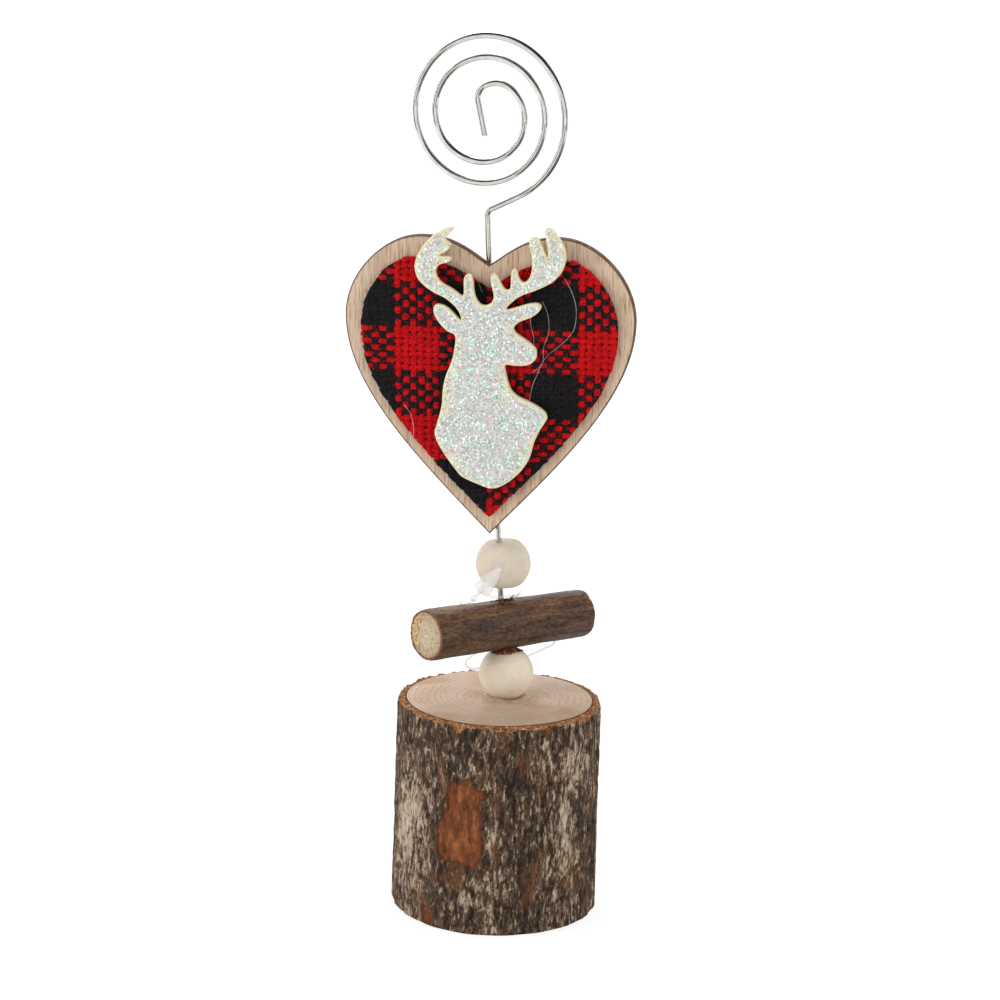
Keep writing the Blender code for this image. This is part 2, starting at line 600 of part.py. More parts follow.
def wire_glue(name, height):
    """A flattened dome of hot melt over the wire on the plaque's back, open where the wire runs."""
    shape = bmesh.new()
    bmesh.ops.create_uvsphere(shape, u_segments=24, v_segments=12, radius=1.0)
    rise = WIRE_RADIUS + WIRE_GLUE_HEIGHT
    bmesh.ops.scale(shape, vec=(WIRE_GLUE_WIDTH / 2, rise, WIRE_GLUE_LENGTH / 2), verts=shape.verts)
    face_at = PLAQUE_BACK + SEAT_GAP
    sliced = bmesh.ops.bisect_plane(shape, geom=shape.verts[:] + shape.edges[:] + shape.faces[:],
                                    plane_co=(0, face_at, 0), plane_no=(0, 1, 0), clear_inner=True)
    rim = [item for item in sliced["geom_cut"] if isinstance(item, bmesh.types.BMEdge)]
    bmesh.ops.contextual_create(shape, geom=rim)
    bmesh.ops.recalc_face_normals(shape, faces=shape.faces)
    mesh = bpy.data.meshes.new(name)
    shape.to_mesh(mesh)
    shape.free()
    dome = place(bpy.data.objects.new(name, mesh), HOT_MELT, stem, (0, 0, height))
    way = cylinder_mesh(name + "_way", WIRE_WAY, WIRE_WAY, 2 * WIRE_GLUE_LENGTH, 16)
    cut(dome, as_cutter(way, stem, (0, 0, height)))


# Hot melt that holds the plaque to the wire, near its tip and near its notch
for name, above_tip in zip(("wire_glue_lower", "wire_glue_upper"), WIRE_GLUE_AT):
    wire_glue(name, PLAQUE_TIP + above_tip)

# Loop tag: the lock stands clear of the bead all the way round, so that it can turn with the twig
lock_reach = BEAD_RADIUS + UPPER_BEAD_SHIFT + LOCK_FLANGE_DIAMETER / 2 + LOCK_CLEARANCE
lock_base = Vector((LOCK_SIDE, -lock_reach, LOCK_ABOVE_TWIG))
lock_turn = LOCK_AXIS.to_track_quat("Z", "Y")
lock_profile = (
    (0.0, LOCK_LENGTH), (LOCK_TIP_DIAMETER / 2, LOCK_LENGTH), (LOCK_CONE_DIAMETER / 2, LOCK_FLANGE_HEIGHT),
    (LOCK_FLANGE_DIAMETER / 2, LOCK_FLANGE_HEIGHT), (LOCK_FLANGE_DIAMETER / 2, 0.0), (LOCK_BORE / 2, 0.0),
    (LOCK_BORE / 2, LOCK_BORE_DEPTH), (0.0, LOCK_BORE_DEPTH),
)
lock = turned("tag_lock", lock_profile, 24)
place(lock, CLEAR_PLASTIC, twig_pivot, lock_base, lock_turn)

# Barbed head of the filament: a shank inside the lock and a bulb outside its mouth
shank_radius = LOCK_BORE / 2 - SEAT_GAP
bulb_radius = HEAD_BULB_DIAMETER / 2
bulb_at = -(bulb_radius + SEAT_GAP)
bulb_start = math.acos(min(1.0, shank_radius / bulb_radius))
head_profile = [(0.0, HEAD_SHANK_LENGTH), (shank_radius, HEAD_SHANK_LENGTH)]
for i in range(7):
    angle = bulb_start - (bulb_start + math.pi / 2) * i / 6
    head_profile.append((bulb_radius * math.cos(angle), bulb_at + bulb_radius * math.sin(angle)))
tag_head = turned("tag_head", head_profile, 16)
place(tag_head, CLEAR_PLASTIC, twig_pivot, lock_base, lock_turn)


def smooth_course(points, steps):
    """A smooth course through chosen points, with a few steps between each pair."""
    course = []
    padded = [points[0]] + list(points) + [points[-1]]
    for i in range(len(points) - 1):
        before, start, end, after = padded[i:i + 4]
        for j in range(steps):
            t = j / steps
            bend = 2 * before - 5 * start + 4 * end - after
            twist = 3 * start - before - 3 * end + after
            course.append(start + 0.5 * ((end - before) * t + bend * t * t + twist * t ** 3))
    course.append(points[-1])
    return course


# Filament: from the bulb of the head round to the rim of the lock's flange
bulb_end = lock_base - LOCK_AXIS * (HEAD_BULB_DIAMETER + SEAT_GAP + FILAMENT_END_GAP)
flange_side = Vector((0, 1, 0)).cross(LOCK_AXIS).normalized()
flange_rim = lock_base + flange_side * (LOCK_FLANGE_DIAMETER / 2 + FILAMENT_END_GAP)
flange_rim += LOCK_AXIS * (LOCK_FLANGE_HEIGHT / 2)
route = [Vector(point) / 1000 for point in FILAMENT_ROUTE]
loop_course = smooth_course([bulb_end] + route + [flange_rim], FILAMENT_STEPS)
tag_loop = wire("tag_loop", loop_course, FILAMENT_DIAMETER)
place(tag_loop, CLEAR_PLASTIC, twig_pivot)
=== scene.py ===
import math
import random

import bmesh
import bpy
import numpy as np
from mathutils import Matrix, Vector, noise


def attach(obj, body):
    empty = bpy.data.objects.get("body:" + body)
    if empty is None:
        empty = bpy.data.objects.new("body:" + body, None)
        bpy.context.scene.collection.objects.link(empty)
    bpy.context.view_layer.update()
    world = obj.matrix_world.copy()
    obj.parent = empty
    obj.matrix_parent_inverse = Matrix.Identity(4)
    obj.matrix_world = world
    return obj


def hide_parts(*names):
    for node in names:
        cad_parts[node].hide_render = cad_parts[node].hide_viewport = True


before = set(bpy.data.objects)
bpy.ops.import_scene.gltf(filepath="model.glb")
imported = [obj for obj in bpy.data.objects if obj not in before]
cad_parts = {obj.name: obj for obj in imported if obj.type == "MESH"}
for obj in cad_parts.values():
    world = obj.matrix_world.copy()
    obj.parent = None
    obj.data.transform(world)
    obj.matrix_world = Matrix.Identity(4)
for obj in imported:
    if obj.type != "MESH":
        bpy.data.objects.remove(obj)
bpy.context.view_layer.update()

# Log core: a length of branch wood some fourteen years old, sawn square at both ends and left bare.
# The end grain shows pinkish rings round the pith, and the wire stands in a hole drilled there.
LOG_HEIGHT = 0.0549
CORE_RADIUS = 0.02364
CORE_FLARE = 1.02
CORE_INSETS = 14
HOLE_DEPTH = 0.0255
PITH = Vector((0.0011, 0.0010, 0.0))
RING_WIDTH = 0.0016
PER_MM = 1000.0


def tone(code):
    """An sRGB hex colour as linear red, green, blue and alpha."""
    parts = [int(code[i:i + 2], 16) / 255 for i in (1, 3, 5)]
    linear = [c / 12.92 if c <= 0.04045 else ((c + 0.055) / 1.055) ** 2.4 for c in parts]
    return (*linear, 1.0)


def plug(tree, node, inputs):
    """Links each named input of a node to a socket, or sets it to a value."""
    for name, value in inputs.items():
        if isinstance(value, bpy.types.NodeSocket):
            tree.links.new(value, node.inputs[name])
        else:
            node.inputs[name].default_value = value


def add_node(tree, kind, settings=None, inputs=None):
    """Adds one shader node, sets it up, links or sets its inputs, and gives its outputs."""
    node = tree.nodes.new("ShaderNode" + kind)
    for name, value in (settings or {}).items():
        if name == "stops":
            stops = node.color_ramp.elements
            stops.remove(stops[1])
            stops[0].position, stops[0].color = value[0][0], tone(value[0][1])
            for position, code in value[1:]:
                stops.new(position).color = tone(code)
        else:
            setattr(node, name, value)
    plug(tree, node, inputs or {})
    return node.outputs


def new_finish(name):
    """An empty finish: its material, its node tree and its surface shader."""
    material = bpy.data.materials.new(name)
    material.use_nodes = True
    return material, material.node_tree, material.node_tree.nodes["Principled BSDF"]


def clear_selection():
    """Leaves edit mode and lets go of everything."""
    if bpy.context.mode != "OBJECT":
        bpy.ops.object.mode_set(mode="OBJECT")
    bpy.ops.object.select_all(action="DESELECT")


def pick_faces(test):
    """In edit mode, selects only the faces whose middle and normal pass the test."""
    bpy.ops.mesh.select_mode(type="FACE")
    bpy.ops.mesh.select_all(action="DESELECT")
    mesh = bpy.context.object.data
    shape = bmesh.from_edit_mesh(mesh)
    for face in shape.faces:
        face.select_set(test(face.calc_center_median(), face.normal))
    bmesh.update_edit_mesh(mesh)


def points_of(piece):
    """All vertex places of a piece as rows of x, y, z."""
    places = np.zeros(len(piece.data.vertices) * 3)
    piece.data.vertices.foreach_get("co", places)
    return places.reshape(-1, 3)


def move_points(piece, places):
    """Puts the vertices of a piece where the rows say."""
    piece.data.vertices.foreach_set("co", np.asarray(places, float).ravel())
    piece.data.update()


def grain(places, *cell):
    """Smooth noise from -1 to 1 at each place, with cells of the given size along x, y and z."""
    return np.array([noise.noise(Vector(p)) for p in places / np.array(cell)])


def fit(piece, body, slot, *solids):
    """Fixes a finished piece to its body, in place of the plain solids that it stands for."""
    clear_selection()
    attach(piece, body)
    if solids:
        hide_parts(*solids)


def log_swell(angle):
    """How far the branch stands out of round at an angle, as a share of its radius."""
    return 0.008 * np.cos(2 * angle + 0.5) + 0.007 * np.cos(3 * angle - 0.9) + 0.004 * np.cos(5 * angle + 2.0)


clear_selection()
bpy.ops.mesh.primitive_cylinder_add(vertices=192, radius=CORE_RADIUS, depth=LOG_HEIGHT,
                                    location=(0, 0, LOG_HEIGHT / 2))
sawn_core = bpy.context.object
sawn_core.name = "sawn_core"
bpy.ops.object.transform_apply(location=True)
bpy.ops.object.mode_set(mode="EDIT")
pick_faces(lambda middle, normal: normal.z > 0.9)
for ring in range(CORE_INSETS):
    bpy.ops.mesh.inset(thickness=CORE_RADIUS / (CORE_INSETS + 0.8))
bpy.ops.mesh.extrude_region_move(TRANSFORM_OT_translate={"value": (0, 0, -HOLE_DEPTH)})
bpy.ops.object.mode_set(mode="OBJECT")
spots = points_of(sawn_core)
reach = np.hypot(spots[:, 0], spots[:, 1])
share = reach / CORE_RADIUS
swell = 1 + log_swell(np.arctan2(spots[:, 1], spots[:, 0])) * share
flare = CORE_FLARE + (1 - CORE_FLARE) * spots[:, 2] / LOG_HEIGHT
spots[:, :2] = spots[:, :2] * (swell * flare)[:, None] + np.array(PITH)[:2] * (1 - share)[:, None]
move_points(sawn_core, spots)
bpy.ops.object.shade_smooth_by_angle(angle=math.radians(30))

# Sawn alder, dry and unsealed: dull, with darker late-wood lines and faint lines from the saw, and with painted
# shade that makes it darker and greyer towards the front right. Pores and fibres are drawn at 0.35 mm, coarser than
# real, so that they show.
end_grain, tree, shader = new_finish("sawn_alder_end_grain")
place = add_node(tree, "TexCoord")["Object"]
from_pith = add_node(tree, "VectorMath", {"operation": "MULTIPLY_ADD"},
                     {0: place, 1: (1, 1, 0), 2: (-PITH.x, -PITH.y, 0)})[0]
wander = add_node(tree, "TexNoise", {}, {"Vector": from_pith, "Scale": PER_MM / 8, "Detail": 2.0})["Fac"]
radius = add_node(tree, "VectorMath", {"operation": "LENGTH"}, {0: from_pith})["Value"]
bent = add_node(tree, "Math", {"operation": "MULTIPLY_ADD"}, {0: wander, 1: 0.0032, 2: radius})[0]
spacing = add_node(tree, "TexNoise", {"noise_dimensions": "1D"}, {"W": bent, "Scale": PER_MM / 4})["Fac"]
count = add_node(tree, "Math", {"operation": "MULTIPLY_ADD"}, {0: bent, 1: 1 / RING_WIDTH, 2: spacing})[0]
year = add_node(tree, "Math", {"operation": "FRACT"}, {0: count})[0]
rings = add_node(tree, "ValToRGB", {"stops": ((0.0, "#d6c1ad"), (0.55, "#d2bca7"), (0.86, "#c8b19b"),
                                              (0.95, "#ccb59f"), (1.0, "#d6c1ad"))}, {"Fac": year})["Color"]
blotch = add_node(tree, "TexNoise", {}, {"Vector": place, "Scale": PER_MM / 13, "Detail": 4.0})["Fac"]
stain = add_node(tree, "ValToRGB", {"stops": ((0.32, "#e6d3c4"), (0.5, "#ffffff"), (0.7, "#eee2d6"))},
                 {"Fac": blotch})["Color"]
stained = add_node(tree, "Mix", {"data_type": "RGBA", "blend_type": "MULTIPLY"}, {0: 0.8, 6: rings, 7: stain})[2]
# Painted shade: towards the front right the end grain is multiplied darker and greyer, for the weaker light there
deep = add_node(tree, "VectorMath", {"operation": "DOT_PRODUCT"}, {0: from_pith, 1: (-0.5, 1, 0)})["Value"]
deep_bent = add_node(tree, "Math", {"operation": "MULTIPLY_ADD"}, {0: wander, 1: 0.012, 2: deep})[0]
front_shade_here = add_node(tree, "MapRange", {}, {"Value": deep_bent, "From Min": -0.012, "From Max": 0.006,
                                             "To Min": 1.0, "To Max": 0.0})[0]
front_shaded = add_node(tree, "Mix", {"data_type": "RGBA", "blend_type": "MULTIPLY"},
                  {0: front_shade_here, 6: stained, 7: tone("#d9d4ce")})[2]
fibre = add_node(tree, "TexNoise", {}, {"Vector": place, "Scale": PER_MM / 0.35, "Detail": 3.0})["Fac"]
pores = add_node(tree, "ValToRGB", {"stops": ((0.30, "#b9a18b"), (0.48, "#ffffff"))}, {"Fac": fibre})["Color"]
speckled = add_node(tree, "Mix", {"data_type": "RGBA", "blend_type": "MULTIPLY"}, {0: 0.55, 6: front_shaded, 7: pores})[2]
kerf = add_node(tree, "TexWave", {"bands_direction": "DIAGONAL"},
                {"Vector": place, "Scale": math.tau / 20 * PER_MM / 1.1, "Distortion": 3.0, "Detail": 2.0})["Fac"]
saw = add_node(tree, "Math", {"operation": "MULTIPLY_ADD"}, {0: kerf, 1: 0.35, 2: fibre})[0]
relief = add_node(tree, "Bump", {}, {"Strength": 0.35, "Distance": 0.0002, "Height": saw})[0]
plug(tree, shader, {"Base Color": speckled, "Normal": relief, "Roughness": 0.82})
sawn_core.data.materials.append(end_grain)
fit(sawn_core, "base", "end_grain", "log_core")

# Log bark: the branch's own rough grey-brown bark, left on as a sleeve about 2 mm thick.
# It is chipped along the sawn rims, and two scales have come off and show the orange inner bark.
BARK_RADIUS = 0.0257
BARK_FLARE = 0.0005
BARK_WALL = 0.0020
BARK_ROWS = 168
BARK_STEPS = 430
BARK_RIBS = 19
RIB_RISE = 0.28
RIB_SWAY = 1.3
RIB_WAVE = 0.0690

# Lost scales and patches of lichen, in millimetres round the log from its front and up from its foot
ARC_RADIUS = 26.0
PEELED_SCALE = (
    (-8.1, 40.3), (-6.7, 40.8), (-6.1, 40.1), (-4.5, 40.9), (-0.4, 42.1), (-2.4, 40.5), (-1.3, 38.9), (1.7, 38.4),
    (1.9, 36.4), (0.3, 35.6), (-0.1, 33.6), (0.9, 31.6), (0.5, 28.0), (1.5, 24.9), (1.7, 21.8), (0.0, 19.8),
    (-0.2, 18.2), (-2.2, 17.2), (-3.6, 18.6), (-6.0, 19.2), (-8.5, 18.6), (-10.6, 19.2), (-11.6, 21.8),
    (-11.6, 27.6), (-10.1, 30.5), (-8.4, 33.0), (-8.9, 35.0), (-8.6, 38.1),
)
FOOT_SCALE = ((-15.9, 4.6), (-14.2, 5.4), (-12.6, 4.2), (-12.2, 2.2), (-12.9, 0.4), (-15.6, 0.6), (-16.4, 2.6))
LICHEN_SPOTS = ((-24.0, 24.0, 7.0), (-20.0, 33.0, 4.0), (-27.0, 12.0, 4.0), (23.0, 30.0, 3.0), (24.0, 20.0, 3.5),
                (26.0, 42.0, 3.5), (60.0, 20.0, 8.0), (-60.0, 36.0, 9.0))


def inside_by(outline, along, up):
    """How far inside an outline each place lies, in the outline's own units; negative outside."""
    nearest = np.full(len(along), 1e9)
    inside = np.zeros(len(along), bool)
    for (ax, ay), (bx, by) in zip(outline, outline[1:] + outline[:1]):
        run, rise = bx - ax, by - ay
        part = np.clip(((along - ax) * run + (up - ay) * rise) / (run * run + rise * rise), 0, 1)
        nearest = np.minimum(nearest, np.hypot(along - ax - part * run, up - ay - part * rise))
        crosses = (ay > up) != (by > up)
        inside ^= crosses & (along < ax + (up - ay) / (rise if rise else 1e-9) * run)
    return np.where(inside, nearest, -nearest)


def pick_piece(piece):
    """Picks one piece and nothing else."""
    clear_selection()
    bpy.context.view_layer.objects.active = piece
    piece.select_set(True)


def new_piece(name, data):
    """A piece with the given mesh, curve or lamp, put into the scene and picked."""
    piece = bpy.data.objects.new(name, data)
    bpy.context.scene.collection.objects.link(piece)
    pick_piece(piece)
    return piece


def face_out():
    """In edit mode, turns all faces outwards, and then leaves edit mode."""
    bpy.ops.mesh.select_all(action="SELECT")
    bpy.ops.mesh.normals_make_consistent(inside=False)
    bpy.ops.object.mode_set(mode="OBJECT")


def spin_profile(name, profile, steps):
    """A line of (radius, height) corners, closed unless it ends on the axis, spun once round Z."""
    mesh = bpy.data.meshes.new(name)
    edges = [(i, i + 1) for i in range(len(profile) - 1)]
    if profile[0][0] > 0:
        edges.append((len(profile) - 1, 0))
    mesh.from_pydata([(r, 0, z) for r, z in profile], edges, [])
    piece = new_piece(name, mesh)
    bpy.ops.object.mode_set(mode="EDIT")
    bpy.ops.mesh.select_all(action="SELECT")
    bpy.ops.mesh.spin(steps=steps, angle=math.tau, center=(0, 0, 0), axis=(0, 0, 1))
    bpy.ops.mesh.select_all(action="SELECT")
    bpy.ops.mesh.remove_doubles(threshold=0.000002)
    face_out()
    bpy.ops.object.shade_smooth()
    return piece


def note_points(piece, name, values):
    """Keeps one number for each vertex, for the finish to read."""
    kept = piece.data.attributes.new(name, "FLOAT", "POINT")
    kept.data.foreach_set("value", np.asarray(values, np.float32))


rim = [(BARK_RADIUS - BARK_WALL * (1 - i / 6), LOG_HEIGHT) for i in range(7)]
wall = [(BARK_RADIUS, LOG_HEIGHT * (1 - i / BARK_ROWS)) for i in range(1, BARK_ROWS)]
foot = [(BARK_RADIUS - BARK_WALL * i / 3, 0.0) for i in range(4)]
rough_bark = spin_profile("rough_bark", rim + wall + foot, BARK_STEPS)
spots = points_of(rough_bark)
radius = np.hypot(spots[:, 0], spots[:, 1])
angle = np.arctan2(spots[:, 0], -spots[:, 1])
height = spots[:, 2].copy()
outer = np.clip((radius - BARK_RADIUS + BARK_WALL) / BARK_WALL, 0, 1)
skin = outer > 0.99
arc = angle * ARC_RADIUS
up = height * PER_MM
top = LOG_HEIGHT * PER_MM
round_log = np.stack([BARK_RADIUS * PER_MM * np.sin(angle), -BARK_RADIUS * PER_MM * np.cos(angle), up], 1)
seams = grain(round_log, 1.9, 1.9, 8.0)
fissure = np.clip(1 - np.abs(seams) / 0.16, 0, 1)
plates = grain(round_log + 40, 4.5, 4.5, 15.0)
scales = grain(round_log + 90, 0.75, 0.75, 2.6)
peel = np.maximum(inside_by(list(PEELED_SCALE), arc, up), inside_by(list(FOOT_SCALE), arc, up))
peel = peel + 0.18 * grain(round_log + 17, 0.8, 0.8, 0.8)
bare = np.clip(peel / 0.35 + 0.5, 0, 1)
lip = np.exp(-((peel + 0.55) / 0.45) ** 2)
bearing = np.arctan2(spots[:, 1], spots[:, 0])
ribs = np.cos(BARK_RIBS * bearing + RIB_SWAY * np.sin(math.tau * height / RIB_WAVE + 2 * bearing))

# Relief in millimetres: ribs, plates and scales with seams between them, and a lip round each lost scale
rise = RIB_RISE * ribs + 0.08 * plates + 0.15 * scales - 0.26 * fissure + 0.14 * lip
rise = rise * (1 - bare) + bare * (-0.55 + 0.06 * scales)
chip_line = round_log * np.array((1, 1, 0))
chip = 0.30 + 0.50 * grain(chip_line, 2.6, 2.6, 1) + 0.4 * grain(chip_line + 9, 0.8, 0.8, 1)
chip = np.clip(chip, 0.05, 1.3)
chip += 1.1 * np.exp(-((arc + 6.0) / 1.6) ** 2) + 0.8 * np.exp(-((arc - 30.0) / 2.2) ** 2)
foot_chip = np.clip(0.25 + 0.5 * grain(chip_line + 55, 2.2, 2.2, 1), 0.0, 0.9)
foot_chip += 2.2 * np.exp(-((arc - 37.0) / 1.3) ** 2)
fade = np.clip(np.minimum(up, top - up) / 1.2, 0, 1)
rise = np.where(skin, rise * (0.35 + 0.65 * fade), 0.12 * scales * outer)
rise = rise - np.where(skin, 0.55 * (1 - np.clip(up / np.maximum(foot_chip, 0.1) / 1.5, 0, 1)), 0)
taper = BARK_FLARE * (1 - height / LOG_HEIGHT)
new_radius = radius * (1 + log_swell(bearing)) + taper + rise / PER_MM
new_height = height * (1 - (chip * outer ** 1.5 / PER_MM) / LOG_HEIGHT)
at_rim = height > LOG_HEIGHT - 1e-6
new_height = new_height - np.where(at_rim & (outer > 0.05), 0.16e-3 * (1 + 1.6 * scales), 0)
new_height = np.clip(new_height, 0, None)
move_points(rough_bark, np.stack([new_radius * np.sin(angle), -new_radius * np.cos(angle), new_height], 1))
rind = np.clip(1 - (top - up) / (0.25 + 1.1 * np.clip(chip - 0.35, 0, 1.5)), 0, 1)
rind = np.where(skin & ~at_rim, rind, 1.0)
lichen = np.zeros(len(arc))
for middle_arc, middle_up, wide in LICHEN_SPOTS:
    lichen += np.exp(-((arc - middle_arc) / wide) ** 2 - ((up - middle_up) / wide / 1.6) ** 2)
note_points(rough_bark, "fissure", np.where(skin, fissure * (1 - bare), 0))
note_points(rough_bark, "peel", np.clip(peel, -3, 3))
note_points(rough_bark, "rind", rind)
note_points(rough_bark, "lichen", np.clip(lichen, 0, 1))
note_points(rough_bark, "across", outer)

# Weathered bark: dry and matt, with seams between plates that are darker partly in their own colour and partly as
# painted shade, pale upright flecks of dead skin and lichen, rusty spots, and fibrous orange-brown inner bark where
# it is chipped or has come off, painted darker towards its edges as painted shade
bark_finish, tree, shader = new_finish("weathered_alder_bark")
place = add_node(tree, "TexCoord")["Object"]
upright = add_node(tree, "Mapping", {}, {"Vector": place, "Scale": (1, 1, 0.36)})[0]
fleck = add_node(tree, "TexNoise", {}, {"Vector": upright, "Scale": PER_MM / 1.15, "Detail": 10.0, "Roughness": 0.74,
                                        "Distortion": 0.5})["Fac"]
region = add_node(tree, "TexNoise", {}, {"Vector": upright, "Scale": PER_MM / 7, "Detail": 3.0})["Fac"]
lichen = add_node(tree, "Attribute", {"attribute_name": "lichen"})["Fac"]
seam_shade = add_node(tree, "Attribute", {"attribute_name": "fissure"})["Fac"]
warp = add_node(tree, "TexNoise", {}, {"Vector": upright, "Scale": PER_MM / 0.9, "Detail": 4.0})["Color"]
warped = add_node(tree, "VectorMath", {"operation": "MULTIPLY_ADD"},
                  {0: warp, 1: (0.0022, 0.0022, 0.0022), 2: upright})[0]
cells = add_node(tree, "TexVoronoi", {}, {"Vector": warped, "Scale": PER_MM / 0.75})["Color"]
flake = add_node(tree, "SeparateColor", {}, {0: cells})[0]
by_region = add_node(tree, "Math", {"operation": "MULTIPLY_ADD"}, {0: region, 1: 0.31, 2: fleck})[0]
by_lichen = add_node(tree, "Math", {"operation": "MULTIPLY_ADD"}, {0: lichen, 1: 0.15, 2: by_region})[0]
by_flake = add_node(tree, "Math", {"operation": "MULTIPLY_ADD"}, {0: flake, 1: 0.15, 2: by_lichen})[0]
# The seams are painted darker: partly the bark's own colour and partly painted shade in them
by_seam_shade = add_node(tree, "Math", {"operation": "MULTIPLY_ADD"}, {0: seam_shade, 1: -0.10, 2: by_flake})[0]
skin_tone = add_node(tree, "ValToRGB", {"stops": (
    (0.56, "#251d18"), (0.66, "#3f3228"), (0.73, "#564536"), (0.78, "#6c5746"), (0.805, "#8d7a66"), (0.85, "#a8967f"),
    (0.965, "#c3b39e"),
)}, {"Fac": by_seam_shade})["Color"]
aside = add_node(tree, "Mapping", {}, {"Vector": place, "Scale": (1, 1, 0.4), "Location": (0.3, 0.1, 0.7)})[0]
rust = add_node(tree, "TexNoise", {}, {"Vector": aside, "Scale": PER_MM / 4.5, "Detail": 5.0})["Fac"]
rust_here = add_node(tree, "MapRange", {}, {"Value": rust, "From Min": 0.54, "From Max": 0.68, "To Max": 0.65})[0]
rusty = add_node(tree, "Mix", {"data_type": "RGBA"}, {0: rust_here, 6: skin_tone, 7: tone("#724a2c")})[2]
grit = add_node(tree, "TexNoise", {},
                {"Vector": upright, "Scale": PER_MM / 0.4, "Detail": 5.0, "Roughness": 0.6})["Fac"]
grit_tone = add_node(tree, "ValToRGB", {"stops": ((0.34, "#5f544a"), (0.52, "#ffffff"))}, {"Fac": grit})["Color"]
gritty = add_node(tree, "Mix", {"data_type": "RGBA", "blend_type": "MULTIPLY"}, {0: 0.8, 6: rusty, 7: grit_tone})[2]
strand = add_node(tree, "TexNoise", {},
                  {"Vector": upright, "Scale": PER_MM / 1.6, "Detail": 8.0, "Roughness": 0.72})["Fac"]
inner_tone = add_node(tree, "ValToRGB", {"stops": (
    (0.33, "#2f190e"), (0.42, "#5a321b"), (0.53, "#784425"), (0.62, "#945d35"),
)}, {"Fac": strand})["Color"]
peel = add_node(tree, "Attribute", {"attribute_name": "peel"})["Fac"]
ragged = add_node(tree, "Math", {"operation": "MULTIPLY_ADD"}, {0: grit, 1: 0.5, 2: peel})[0]
bare_here = add_node(tree, "MapRange", {}, {"Value": ragged, "From Min": 0.12, "From Max": 0.30})[0]
# Painted shade: the bare patch is darkened towards its edges, where the step down from the bark lies in shade
peel_edge_shade = add_node(tree, "MapRange", {},
                 {"Value": ragged, "From Min": 0.25, "From Max": 1.1, "To Min": 0.65, "To Max": 0.0})[0]
shaded = add_node(tree, "Mix", {"data_type": "RGBA"}, {0: peel_edge_shade, 6: inner_tone, 7: tone("#3b2013")})[2]
peeled = add_node(tree, "Mix", {"data_type": "RGBA"}, {0: bare_here, 6: gritty, 7: shaded})[2]
across = add_node(tree, "Attribute", {"attribute_name": "across"})["Fac"]
cork = add_node(tree, "TexNoise", {},
                {"Vector": place, "Scale": PER_MM / 0.9, "Detail": 6.0, "Roughness": 0.72})["Fac"]
cork_tone = add_node(tree, "ValToRGB", {"stops": (
    (0.36, "#4b2c1b"), (0.44, "#86522f"), (0.51, "#a06c43"), (0.58, "#b58b61"), (0.68, "#ceb28d"),
)}, {"Fac": cork})["Color"]
inner_line = add_node(tree, "ValToRGB", {"stops": ((0.05, "#b48f70"), (0.20, "#ffffff"))}, {"Fac": across})["Color"]
rim_tone = add_node(tree, "Mix", {"data_type": "RGBA", "blend_type": "MULTIPLY"},
                    {0: 1.0, 6: cork_tone, 7: inner_line})[2]
rim_grit = add_node(tree, "Mix", {"data_type": "RGBA", "blend_type": "MULTIPLY"},
                    {0: 0.8, 6: rim_tone, 7: grit_tone})[2]
rind = add_node(tree, "Attribute", {"attribute_name": "rind"})["Fac"]
rind_edge = add_node(tree, "Math", {"operation": "MULTIPLY_ADD"}, {0: grit, 1: 0.8, 2: rind})[0]
rind_here = add_node(tree, "MapRange", {}, {"Value": rind_edge, "From Min": 0.80, "From Max": 0.92})[0]
rimmed = add_node(tree, "Mix", {"data_type": "RGBA"}, {0: rind_here, 6: peeled, 7: rim_grit})[2]
crumb = add_node(tree, "Math", {"operation": "MULTIPLY_ADD"}, {0: grit, 1: 0.6, 2: fleck})[0]
relief = add_node(tree, "Bump", {}, {"Strength": 0.8, "Distance": 0.0004, "Height": crumb})[0]
plug(tree, shader, {"Base Color": rimmed, "Normal": relief, "Roughness": 0.92, "Specular IOR Level": 0.25})
rough_bark.data.materials.append(bark_finish)
fit(rough_bark, "base", "log_bark", "log_bark")

# Clip wire: one length of 1.6 mm bright-plated steel wire, pushed into the log, bent once under the
# spiral and wound into two flat turns with an open eye. The free turns spring, so they are a piece apart.
WIRE_RADIUS = 0.0008
STEM_DEPTH = 0.0250
COIL_RADIUS = 0.02065
COIL_PITCH = 0.0052
COIL_MIDDLE = Vector((0.0002, 0.149025))
TAIL_ANGLE = math.radians(-68.7)
SEAM_ANGLE = math.pi
EYE_ARCS = ((0.0095, 40), (0.0063, 70), (0.0036, 75))
EYE_END = 0.0086
BEND_RADIUS = 0.0020
COIL_END = 2 * math.tau
STEM_LEAN = math.radians(-3.6)
COIL_TURN = math.radians(-8.5)
STEP = 0.0006
STEM_STEPS = 60
BEND_STEPS = 12
stem = Matrix.Translation((PITH.x, PITH.y, LOG_HEIGHT)) @ Matrix.Rotation(STEM_LEAN, 4, "Y")
coil_plane = stem @ Matrix.Rotation(COIL_TURN, 4, "Z")


def on_spiral(turn):
    """The wire's centre at an angle along the spiral, across and up in the coil's plane."""
    radius = COIL_RADIUS - COIL_PITCH * turn / math.tau
    return COIL_MIDDLE + radius * Vector((math.cos(turn), math.sin(turn)))


def along_spiral(turn):
    """The way the wire runs at an angle along the spiral."""
    radius = COIL_RADIUS - COIL_PITCH * turn / math.tau
    return turn + math.pi / 2 + math.atan(COIL_PITCH / math.tau / radius)


def wind(start, end):
    """Points along the spiral from one angle to another."""
    steps = math.ceil((end - start) * COIL_RADIUS / STEP)
    return [on_spiral(start + (end - start) * i / steps) for i in range(steps + 1)]


